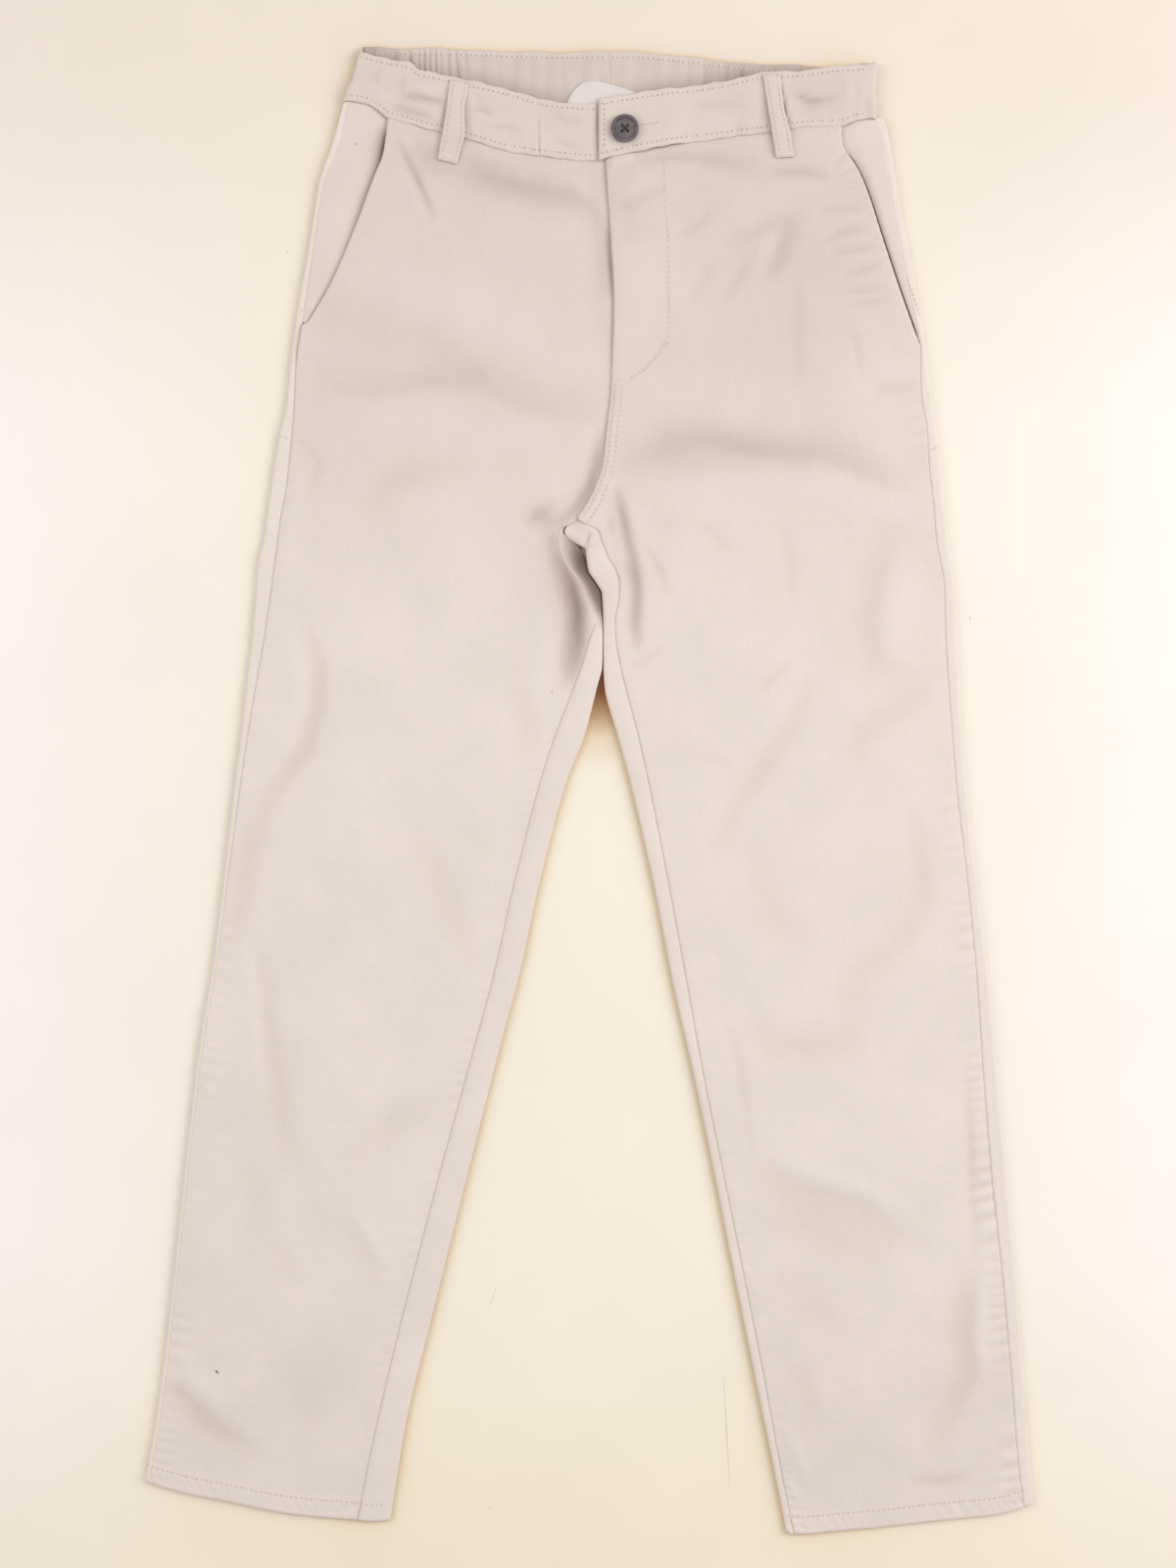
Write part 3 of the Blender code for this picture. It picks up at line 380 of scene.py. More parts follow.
# Painted shade in deep folds: soft dark places. Here the height is how dark the middle is, from 0 to 1.
FLAP_SHADES = creases(
    (0.40, 0.9, 0.3, (-3.0, 147.5), (-2.0, 150.5), (-0.8, 155), (-0.4, 158.5)),
    (0.16, 1.6, 0.0, (-16, 156.5), (-10, 153), (-5, 150.5)),
)
# Painted shade on the front panels: in folds, beside seams, edges and the fly, and broad over the hips.
FRONT_SHADES = creases(
    # the fly's edge, where it stands highest
    (0.30, 1.5, 0.0, (9.6, 346), (10.8, 330), (12.0, 316), (13.2, 300)),
    # along the crotch seam, beside the rim and along its folds
    (0.26, 2.6, 0.2, (7, 222), (4.6, 200), (-0.5, 184), (-9, 171), (-21, 160)),
    (0.50, 7.5, 0.1, (-22, 158), (-17, 140), (-11.5, 126), (-7.5, 110), (-8, 92), (-13, 60)),
    (0.05, 22.0, 0.0, (-50, 178), (-34, 150), (-26, 110), (-24, 70)),
    (0.10, 6.0, 0.0, (13, 186), (19, 164), (24, 140), (27, 118)),
    (0.07, 11.0, 0.0, (10, 193), (30, 201), (52, 204), (90, 203), (116, 200)),
    (0.06, 7.0, 0.0, (64, 386), (84, 381), (106, 378), (122, 377)),
    (0.07, 4.5, 0.0, (-40, 162), (-32, 168), (-24, 172)),
    (0.22, 3.0, 0.3, (16.0, 186), (20.6, 166), (24.4, 144)),
    (0.24, 3.4, 0.0, (24.4, 146), (28.2, 124), (27.2, 100), (29.4, 84)),
    (0.10, 2.4, 0.0, (12, 167), (14.5, 156)),
    # beside the fly
    (0.07, 6.0, 0.0, (3, 392), (4, 360), (6, 325), (8, 285), (9, 258)),
    (0.22, 0.9, 0.0, (10.6, 352), (11.8, 338), (13.0, 316), (13.9, 290), (13.8, 270)),
    (0.28, 0.7, 0.0, (43.2, 268.2), (45.6, 272), (48.0, 277.0)),
    (0.12, 0.7, 0.0, (26, 252.6), (36, 260), (44, 269.6)),
    (0.18, 0.6, 0.0, (14.8, 250.4), (20, 250.8), (25, 251)),
    (0.02, 42.0, 0.0, (50, 336), (104, 296), (150, 236)),
    (0.06, 34.0, 0.0, (110, 244), (126, 296), (146, 336), (184, 370)),
    (0.08, 10.0, 0.0, (16, 388), (20, 360), (26, 330)),
    (0.05, 10.0, 0.0, (26, 384), (66, 390), (108, 384)),
    (0.06, 14.0, 0.0, (-180, 306), (-150, 288), (-112, 272)),
    (0.08, 8.0, 0.0, (-30, 176), (-22, 164), (-20, 150)),
    (0.06, 13.0, 0.0, (-90, 372), (-60, 376), (-30, 378), (-4, 370)),
    (0.05, 15.0, 0.0, (14, 196), (48, 206), (100, 204), (136, 198)),
    # below the right pocket's top, and the deepest places of the hips' folds
    (0.12, 3.2, 0.4, (-118, 396), (-108, 378), (-101, 362), (-96, 350)),
    (0.06, 10.0, 0.0, (-112, 394), (-90, 384), (-60, 374), (-20, 366), (0, 356)),
    (0.05, 6.0, 0.0, (106, 376), (124, 377.6), (146, 375)),
    (0.05, 6.0, 0.0, (108, 311), (116, 331), (124, 349)),
    (0.05, 7.0, -0.3, (40, 212), (67, 215), (100, 208), (140, 206), (160, 198), (190, 187)),
    (0.05, 5.0, 0.3, (-260, -356), (-236, -386), (-210, -402)),
    (0.05, 7.0, 0.3, (234, -296), (230.5, -330), (232, -360), (222, -382)),
    (0.06, 3.4, 0.0, (196, -423.5), (212, -424), (232, -421.5)),
)
BAND_CREASES = creases(
    # right half
    (-0.9, 2.2, 0.0, (-117, 424.8), (-104, 423.6), (-89, 420.2)),
    (0.6, 3.0, 0.0, (-116, 430), (-104, 429), (-92, 425)),
    (-0.35, 2.0, 0.3, (-126, 444), (-131, 436), (-129, 427)),
    (-0.5, 1.8, 0.0, (-113, 437), (-115, 431), (-117, 426)),
    (0.5, 2.6, 0.0, (-134, 432), (-126, 424), (-118, 417)),
    (-0.6, 2.6, 0.0, (-124, 419), (-112, 415), (-96, 411)),
    (-0.6, 1.9, 0.0, (-73, 416), (-64, 414.6), (-58, 411)),
    (-0.45, 2.2, 0.0, (-67, 407.4), (-55, 405.8), (-43, 403.6)),
    (0.45, 2.6, 0.0, (-72, 411.5), (-60, 409.6), (-48, 408)),
    (-0.3, 2.0, 0.0, (-70, 427), (-68, 422), (-67, 418)),
    (-0.4, 3.0, 0.0, (-26, 416), (-14, 409), (-2, 408)),
    (-0.35, 2.0, 0.0, (-24, 398), (-14, 394), (-4, 393)),
    # left half
    (-0.9, 1.5, 0.2, (123.5, 426.4), (131, 422.8), (142, 420.4)),
    (-0.5, 1.6, 0.0, (127, 418.8), (142, 421.2), (153, 425)),
    (0.6, 2.6, 0.0, (124, 431), (136, 427), (150, 429)),
    (-0.25, 2.4, 0.0, (161, 436), (163.5, 426), (163, 415)),
    (0.3, 2.2, 0.0, (157, 434), (158.5, 424), (158, 416)),
    (-0.5, 1.6, 0.0, (169, 424), (170.5, 417), (171, 410)),
    (-0.4, 3.0, 0.0, (60, 417), (76, 418), (94, 420)),
    (-0.35, 2.4, 0.0, (88, 412), (91, 404), (90, 399)),
    (0.35, 4.0, 0.0, (66, 410), (78, 408), (92, 410)),
)
# Painted shadow in the thin gaps beside the belt loops, where they stand off the band, and at the lap, and
# soft painted shade in the band's folds.
BAND_SHADES = creases(
    (0.34, 0.9, 0.0, (-86.4, 434), (-88.1, 419.4), (-90.4, 404), (-92, 396)),
    (0.12, 2.2, 0.0, (-75.0, 424), (-76.4, 410), (-75.4, 400)),
    (0.6, 1.0, 0.0, (116.0, 437), (118.6, 416), (122.6, 401), (124, 394)),
    (0.10, 2.6, 0.0, (104, 436), (106.6, 418), (109, 402)),
    (0.05, 3.0, 0.0, (-124, 420), (-110, 414), (-96, 410)),
    (0.04, 4.0, 0.0, (-136, 440), (-128, 430), (-118, 424)),
    (0.10, 13.0, 0.0, (118, 432), (138, 424), (160, 432)),
    (0.03, 8.0, 0.0, (-124, 434), (-110, 432), (-94, 430)),
    (0.10, 2.0, 0.0, (-118, 424.4), (-104, 423.2), (-89, 419.8)),
    (0.06, 1.4, 0.0, (123.5, 426), (131, 422.4), (142, 420)),
    (0.5, 0.9, 0.0, (4.8, 424), (4.6, 404), (5.0, 384)),
)

# The pleats of the elasticated back band. lean is how far each one's foot lies beyond its head.
Gather = namedtuple("Gather", "x depth width lean")
GATHERS = table(
    Gather,
    (-119.0, 0.60, 2.2, 1.0), (-110.6, 0.95, 1.4, 2.0), (-105.2, 0.80, 1.0, 1.0),
    (-101.8, 0.90, 1.0, 0.5), (-98.2, 0.70, 0.9, 0.5), (-94.8, 1.00, 1.1, 1.0),
    (-91.6, 0.60, 0.9, 0.0), (-87.2, 0.80, 1.3, 2.0), (-82.6, 0.90, 1.2, 3.5),
    (-76.6, 0.75, 1.5, 4.5), (-71.4, 0.40, 1.3, 3.0), (-65.6, 0.45, 1.9, 1.0),
    (-57.0, 0.35, 1.6, 1.0), (-51.0, 0.25, 2.4, 0.0), (-44.0, 0.30, 2.2, -1.0),
    (-36.4, 0.42, 1.8, 1.0), (-28.0, 0.25, 2.4, 1.0), (-18.4, 0.45, 1.8, 4.0),
    (-8.6, 0.30, 1.6, -2.0), (-2.0, 0.20, 2.2, 0.0), (4.2, 0.30, 1.8, 1.0), (19.4, 0.28, 2.0, 0.0),
    (26.0, 0.20, 2.4, 1.0), (33.2, 0.35, 1.8, -1.0), (40.4, 0.30, 1.6, 0.0), (47.6, 0.48, 1.6, 1.0),
    (53.8, 0.30, 1.5, -1.0), (60.4, 0.50, 1.5, 0.0), (65.0, 0.30, 1.2, 0.0), (69.6, 0.65, 1.4, 0.5),
    (73.8, 0.50, 1.1, 0.0), (77.6, 0.75, 1.2, 0.5), (83.4, 0.80, 1.5, 0.0), (88.2, 0.60, 1.2, 0.5),
    (92.8, 0.80, 1.4, 0.0), (98.4, 0.60, 1.5, 0.0), (105.0, 0.50, 1.8, 0.5),
    (112.4, 0.45, 1.6, 0.0), (119.0, 0.50, 1.8, 0.0), (127.0, 0.40, 1.8, 0.5),
    (134.6, 0.50, 1.6, 0.0), (142.0, 0.40, 1.8, 0.0), (150.4, 0.45, 1.6, 0.0),
    (157.0, 0.35, 1.6, 0.0),
)


# ---------------------------------------------------------------- shared sums

def smooth_line(places, values):
    """A smooth line through (place, value) pairs that never swings past them."""
    order = np.argsort(places)
    xs, vs = np.array(places, float)[order], np.array(values, float)[order]
    rises = np.diff(vs) / np.diff(xs)
    slopes = np.empty(len(xs))
    slopes[0], slopes[-1] = rises[0], rises[-1]
    for i in range(1, len(xs) - 1):
        before, after = rises[i - 1], rises[i]
        slopes[i] = 2 * before * after / (before + after) if before * after > 0 else 0.0

    def value(x):
        x = np.clip(np.asarray(x, float), xs[0], xs[-1])
        i = np.clip(np.searchsorted(xs, x) - 1, 0, len(xs) - 2)
        run = xs[i + 1] - xs[i]
        t = (x - xs[i]) / run
        return ((1 + 2 * t) * (1 - t) ** 2 * vs[i] + t * (1 - t) ** 2 * run * slopes[i]
                + t * t * (3 - 2 * t) * vs[i + 1] - t * t * (1 - t) * run * slopes[i + 1])
    return value


def lines_of(rows):
    """The columns of a table by name, each as a smooth line along the first column."""
    places, *columns = zip(*rows)
    return {name: smooth_line(places, values) for name, values in zip(rows[0]._fields[1:], columns)}


LINES = {side: lines_of(SECTIONS[side]) for side in SIDES}
LAYER = lines_of(HEIGHTS)
POCKET = {side: lines_of(POCKET_LINES[side])["x"] for side in SIDES}
HEM = {side: lines_of(HEM_LINES[side])["y"] for side in SIDES}
BAND_LINES = {side: lines_of(FRONT_BANDS[side]) for side in SIDES}
BACK_BAND_TOP = lines_of(BACK_BAND)["top"]


def ease(low, high, x):
    """0 below low, 1 above high, and a smooth step between them."""
    t = np.clip((np.asarray(x, float) - low) / (high - low), 0.0, 1.0)
    return t * t * (3 - 2 * t)


def fade(low, high, x):
    """1 below low, 0 above high, and a smooth step between them."""
    return 1 - ease(low, high, x)


def span(rise, full, fall, gone, x):
    """1 between full and fall, 0 below rise and above gone, with smooth steps."""
    return ease(rise, full, x) * fade(fall, gone, x)


def bell(away, width):
    """1 at no distance, and soon 0 past a width."""
    return np.exp(-(away / width) ** 2)


def mix(a, b, t):
    return a + (b - a) * t


def path_place(x, y, points):
    """How far each place lies to the left of a path, how far along it, and the path's length."""
    points = np.asarray(points, float)
    best = np.full(np.shape(x), 1e9)
    side, along = np.zeros(np.shape(x)), np.zeros(np.shape(x))
    start = 0.0
    for a, b in zip(points, points[1:]):
        run = b - a
        length = math.hypot(*run)
        t = np.clip(((x - a[0]) * run[0] + (y - a[1]) * run[1]) / length ** 2, 0.0, 1.0)
        away = np.hypot(x - a[0] - t * run[0], y - a[1] - t * run[1])
        nearer = away < best
        best = np.where(nearer, away, best)
        side = np.where(nearer, run[0] * (y - a[1]) - run[1] * (x - a[0]), side)
        along = np.where(nearer, start + t * length, along)
        start += length
    return np.where(side < 0, -best, best), along, start


def crease_height(x, y, rows):
    """The height that a table of creases gives each place."""
    total = np.zeros(np.shape(x))
    for crease in rows:
        away, along, length = path_place(x, y, crease.points)
        width = crease.width * np.where(away > 0, 1 - crease.lean, 1 + crease.lean)
        taper = np.maximum(np.sin(np.pi * along / length), 0.0) ** 0.7
        total += crease.height * taper * bell(away, width)
    return total


def wander(x, y, seed):
    """Slow uneven swells between about -1 and 1, from a few crossed waves."""
    total = np.zeros(np.shape(x))
    for i in range(5):
        turn = seed * 1.7 + i * 2.4
        length = 34.0 + 11.0 * ((i * 7 + seed * 3) % 5)
        total += np.sin((x * math.cos(turn) + y * math.sin(turn)) / length * 2 * np.pi + turn * 5)
    return total / 3.2


def puckers(along, across, pitch, height, reach, seed):
    """Uneven little ripples across a seam, which fade away from it."""
    bend = 0.6 * np.sin(along / (pitch * 2.3) + seed) + 0.28 * np.sin(along / (pitch * 1.1) + seed * 2)
    swell = (0.5 + 0.3 * np.sin(along / (pitch * 1.4) + seed * 3)
             + 0.3 * np.sin(along / (pitch * 4.1) + seed * 5))
    wave = np.sin(2 * np.pi * (along / pitch + bend) + 0.16 * across)
    return height * swell * wave * bell(across, reach)


def roll_off(away, radius, drop):
    """How far a folded edge turns down, at a distance from that edge."""
    t = np.clip(1 - away / radius, 0.0, 1.0)
    return drop * (1 - np.sqrt(1 - t * t))


# ---------------------------------------------------------------- making objects

def settings():
    return bpy.context.scene.chinos


def node_box(node):
    """The low and the high corner of one of the frame's nodes, in millimetres."""
    return [np.array(corner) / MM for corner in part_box(node)]


def finish_piece(name, data, material, nodes=(), place=(0, 0, 0)):
    """A piece with its material, the body it rides on and the nodes it replaces."""
    piece = bpy.data.objects.new(name, data)
    piece.location = place
    data.materials.append(bpy.data.materials[material])
    bpy.context.scene.collection.objects.link(piece)
    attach(piece, "root")
    if nodes:
        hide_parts(*nodes)
    return piece


def closed_mesh(name, points, faces, merge=0.0):
    """A smooth mesh from points in metres, with near points merged and its faces turned out."""
    mesh = bpy.data.meshes.new(name)
    mesh.from_pydata(points, [], faces)
    form = bmesh.new()
    form.from_mesh(mesh)
    if merge:
        bmesh.ops.remove_doubles(form, verts=form.verts, dist=merge)
    bmesh.ops.recalc_face_normals(form, faces=form.faces)
    form.to_mesh(mesh)
    form.free()
    mesh.shade_smooth()
    return mesh


# What the twill reads from its mesh, and what holds where a grid doesn't say: how far the place stands
# out, its distance to the nearest edge and to the nearest stitch line, and its painted shade. The twill
# paints shade into hollows and a highlight onto ridges from how far the place stands out.
MARKS = {"crease": 0.0, "edge": 99.0, "stitch": 99.0, "shade": 0.0}


def laid(x, y, z, across, along, **marks):
    """What a shell is made from: its middle points, the same grid laid flat, and its marks."""
    x, y, z, across, along = np.broadcast_arrays(x, y, z, across, along)
    return np.stack([x, y, z], axis=2), np.stack([across, along], axis=2), marks


def shell(name, wall, points, place, marks):
    """A closed cloth wall round a grid of middle points in millimetres, with rounded rims."""
    rows, columns = points.shape[:2]
    normal = np.cross(np.gradient(points, axis=0), np.gradient(points, axis=1))
    normal /= np.maximum(np.linalg.norm(normal, axis=2, keepdims=True), 1e-9)
    if normal[..., 2].mean() < 0:
        normal = -normal
    spots = np.arange(rows * columns).reshape(rows, columns)
    ring = np.concatenate([spots[0], spots[1:, -1], spots[-1, -2::-1], spots[-2:0:-1, 0]])
    points, place, normal = (grid.reshape(rows * columns, -1) for grid in (points, place, normal))
    edge = points[ring]
    out = np.cross(np.roll(edge, -1, axis=0) - np.roll(edge, 1, axis=0), normal[ring])
    out /= np.maximum(np.linalg.norm(out, axis=1, keepdims=True), 1e-9)
    if np.sum((edge - points.mean(axis=0)) * out) < 0:
        out = -out
    half = wall / MM / 2
    vertices = np.concatenate([points + normal * half, points - normal * half,
                               edge + out * half * 0.8]) * MM
    first = spots[:-1, :-1].ravel()
    top = np.stack([first, first + 1, first + columns + 1, first + columns], axis=1)
    after = np.roll(ring, -1)
    rim = 2 * len(points) + np.arange(len(ring))
    rim_after = np.roll(rim, -1)
    faces = np.concatenate([
        top, top[:, ::-1] + len(points), np.stack([after, ring, rim, rim_after], axis=1),
        np.stack([rim_after, rim, ring + len(points), after + len(points)], axis=1)])
    mesh = closed_mesh(name, vertices, faces)
    corner = np.empty(len(mesh.loops), dtype=np.int32)
    mesh.loops.foreach_get("vertex_index", corner)
    flat = np.concatenate([place, place, place[ring]]) * MM
    mesh.uv_layers.new(name="cloth").data.foreach_set("uv", flat[corner].ravel().astype(np.float32))
    up = normal[:, 2]
    lit = np.concatenate([fade(0.3, 0.7, -up), fade(0.3, 0.7, up), np.ones(len(ring))])
    for mark, blank in MARKS.items():
        values = np.broadcast_to(marks.get(mark, blank), (rows, columns)).ravel()
        values = np.concatenate([values, values, values[ring]])
        if mark == "shade":                       # the cloth's underside is never in it
            values = values * lit
        attribute = mesh.attributes.new(mark, "FLOAT", "POINT")
        attribute.data.foreach_set("value", values.astype(np.float32))
    return mesh


# ---------------------------------------------------------------- the leg panels

FRONT_TUCK = 4.0          # the front runs on this far under the waistband
FRONT_COUNT = 82          # columns of a front panel, apart from those beside its edges
EDGE_STEPS = (0.0, 0.25, 0.6, 1.05, 1.6, 2.3, 3.2, 4.5, 6.2)   # columns in from an edge
HEM_STITCH = 10.0         # the hem's topstitching runs this far above it
LOWEST_FRONT = 1.75


def panel_y(side, level, x, on_floor=0.0, tuck=0.0):
    """y of a panel's row: level rows that follow the waist at the top and the hem below."""
    top = mix(BAND_LINES[side]["seam"](x) + tuck, BACK_BAND_TOP(x) - BAND_HEIGHT - SEAM_GAP, on_floor)
    return (level + (top - WAIST_LEVEL) * ease(*WAIST_FADE, level)
            + (HEM[side](x) - HEM_LEVEL) * fade(*HEM_FADE, level))


def panel_levels(fine):
    """Row levels from the waist to the hem, closest round the crotch, as one column."""
    levels = [WAIST_LEVEL]
    for end, step in ((172.0, 2.0 * fine), (98.0, 1.0), (-404.0, 2.3 * fine), (HEM_LEVEL, 1.4)):
        start = levels[-1]
        count = max(int(round((start - end) / step)), 1)
        levels += [start + (end - start) * (i + 1) / count for i in range(count)]
    return np.array(levels)[:, None]


def edge_columns(width, count):
    """Distances across a row: close together beside both edges and even between them."""
    steps = np.array(EDGE_STEPS)
    even = np.linspace(0, 1, count + 2)[1:-1]
    even = even - 0.25 * np.sin(2 * np.pi * even) / (2 * np.pi)
    middle = steps[-1] + (width - 2 * steps[-1]) * even
    return np.concatenate([steps + 0 * width, middle, width - steps[::-1]], axis=1)


def front_outer(side, y):
    """The front's outer boundary: the pocket opening, then the side seam."""
    seam = LINES[side]["side"](y) - side * SEAM_GAP / 2
    pocket = POCKET[side](y)
    return np.where((y > POCKET_LINES[side][-1].y) & (np.abs(pocket) < np.abs(seam)), pocket, seam)


def front_inner(side, y):
    """The front's inner boundary: the fly or the crotch seam, then the rim or the inseam."""
    inner = LINES[side]["inner"](y) + side * SEAM_GAP / 2
    if side == RIGHT:
        inner = inner + mix(4.0, FLY_UNDERLAP, ease(POCKET_LIFT_GONE, FLY_FOOT, y)) * ease(160, 170, y)
    return inner


def settle(side, level, boundary, tuck=FRONT_TUCK):
    """Where a slanting row crosses a boundary that depends on y."""
    x = boundary(level)
    for _ in range(6):
        x = boundary(panel_y(side, level, x, tuck=tuck))
    return x


def side_seam_shown(side, y):
    """How much of a groove the side seam is: low on the right leg it hardly shows."""
    return ease(-110, -45, y) if side == RIGHT else 1.0


def seam_ripples(side, x, y, outer_away, inner_away):
    """Puckers along the pocket, the side seam, the inseam, the hem and the waist."""
    at_pocket, at_side, at_inseam = {RIGHT: (0.25, 0.35, 0.55), LEFT: (0.7, 1.0, 0.35)}[side]
    pocket = ease(POCKET_LINES[side][-1].y - 6, POCKET_LINES[side][-1].y + 16, y)
    z = pocket * puckers(y + 0.35 * outer_away, outer_away - 5, 5.2, at_pocket, 6.0, 1.0 + side)
    low = (1 - pocket) * (0.25 + 0.75 * fade(-120, -20, y))
    z = z + low * puckers(y, outer_away - 5, 9.0, at_side, 7.0, 2.0 + side)
    inseam = fade(90, 130, y) * (0.4 + 0.6 * fade(-190, -80, y))
    z = z + inseam * puckers(y, inner_away - 3, 6.2, at_inseam, 4.5, 4.0 + side)
    hem = y - HEM[side](x)
    z = z + puckers(x + 0.5 * hem, hem - 5, 6.4, 0.42, 5.0, 6.0 + side)
    return z + puckers(x, BAND_LINES[side]["seam"](x) - y - 5, 10.0, 0.14, 8.0, 8.0 + side)


def front_grid(side):
    """A front panel, with its creases, puckers and turned edges."""
    level = panel_levels(1.0)
    outer = settle(side, level, lambda y: front_outer(side, y))
    inner = settle(side, level, lambda y: front_inner(side, y))
    width = np.abs(inner - outer)
    across = edge_columns(width, FRONT_COUNT)
    inner_away = width - across
    x = outer - side * across
    y = panel_y(side, level, x, tuck=FRONT_TUCK)
    t = across / width
    lift = POCKET_LIFT * ease(POCKET_LIFT_GONE, POCKET_LIFT_END, y)
    z = mix(LAYER["strip"](y) + lift, LAYER["middle"](y), ease(0.04, 0.26, t))
    z = mix(z, LAYER["lap" if side == LEFT else "under"](y), ease(0.82, 0.97, t))
    z += 1.2 * np.sin(np.pi * np.clip(t, 0, 1)) ** 0.7 * span(-440, -300, 330, 390, y)
    inside = ease(0.0, 7.0, across) * ease(0.0, 5.0, inner_away)
    field = crease_height(x, y, FRONT_CREASES)
    ripples = seam_ripples(side, x, y, across, inner_away)
    z += field * mix(0.45, 1.0, inside) + 0.28 * wander(x, y, 3) * inside
    z += ripples + 0.3 * fade(9.0, 11.0, y - HEM[side](x)) * ease(0.0, 4.0, across)
    # edges that turn down: pocket, side seam, fly or crotch seam, rim and inseam
    plain = side_seam_shown(side, y)
    z -= roll_off(across, 1.3, 0.55) * plain
    if side == LEFT:
        z -= roll_off(inner_away, 1.2, 0.5)
        z += 0.35 * bell(inner_away - 4.0, 3.2) * ease(170, 180, y)
    else:
        rim = span(98, 112, 157, 164, y)
        z -= roll_off(inner_away, mix(1.2, 3.4, rim), mix(0.5, 3.2, rim))
        sunk = bell(inner_away - FLY_UNDERLAP, 5.0) * ease(180, 230, y)
        z -= 0.4 * sunk * (0.5 + 0.5 * bell(y - 322, 26))
    z -= 1.25 * ease(-2.0, 0.6, y - BAND_LINES[side]["seam"](x))       # in under the band
    # painted shade: FRONT_SHADES, broad darkening over the hips and low on the legs, and thin painted
    # shadow lines along the side seam below the pocket and along the inner edge
    shade = crease_height(x, y, FRONT_SHADES) + 0.085 * ease(80, 250, y) + 0.045 * ease(280, 400, y)
    shade += 0.035 * fade(-370, -270, y)
    below_pocket = fade(POCKET_LINES[side][-1].y - 4, POCKET_LINES[side][-1].y, y)
    shade += 0.14 * bell(across, 0.5) * below_pocket * plain
    shade += 0.22 * bell(inner_away, 0.5) * (1 - ease(96, 104, y) * (side == RIGHT))
    return laid(x, y, np.maximum(z, LOWEST_FRONT), x - (outer + inner) / 2, y,
                crease=field + 1.3 * ripples, edge=np.minimum(across, inner_away),
                stitch=stitch_distance(side, x, y), shade=np.clip(shade, 0, 1))


BACK_WALL = 0.9
FLOOR_GAP = 0.26          # the thread underneath lifts the cloth by this much
LOWEST_BACK = BACK_WALL / 2 + FLOOR_GAP
BACK_STRIP_COLUMNS, BACK_FLOOR_COLUMNS, BACK_INNER_COLUMNS = 7, 46, 13
PRESSED = {RIGHT: (94.0, 108.0), LEFT: (150.0, 158.0)}       # y where the flap is pressed flat
SEAM_PRESSED = {RIGHT: (100.0, 112.0), LEFT: (160.0, 168.0)}
UNDER_RIM = 6.0           # the right back runs on this far under the rim beside the crotch


def roll(edge, outward, low, high):
    """A cross-section round a fold: x and z from the top to the ground, for a column of rows."""
    angle = np.radians(np.linspace(90, -90, 9))
    radius = (high - low) / 2
    centre = edge - outward * (radius + BACK_WALL / 2)
    return centre + outward * radius * np.cos(angle), (high + low) / 2 + radius * np.sin(angle)


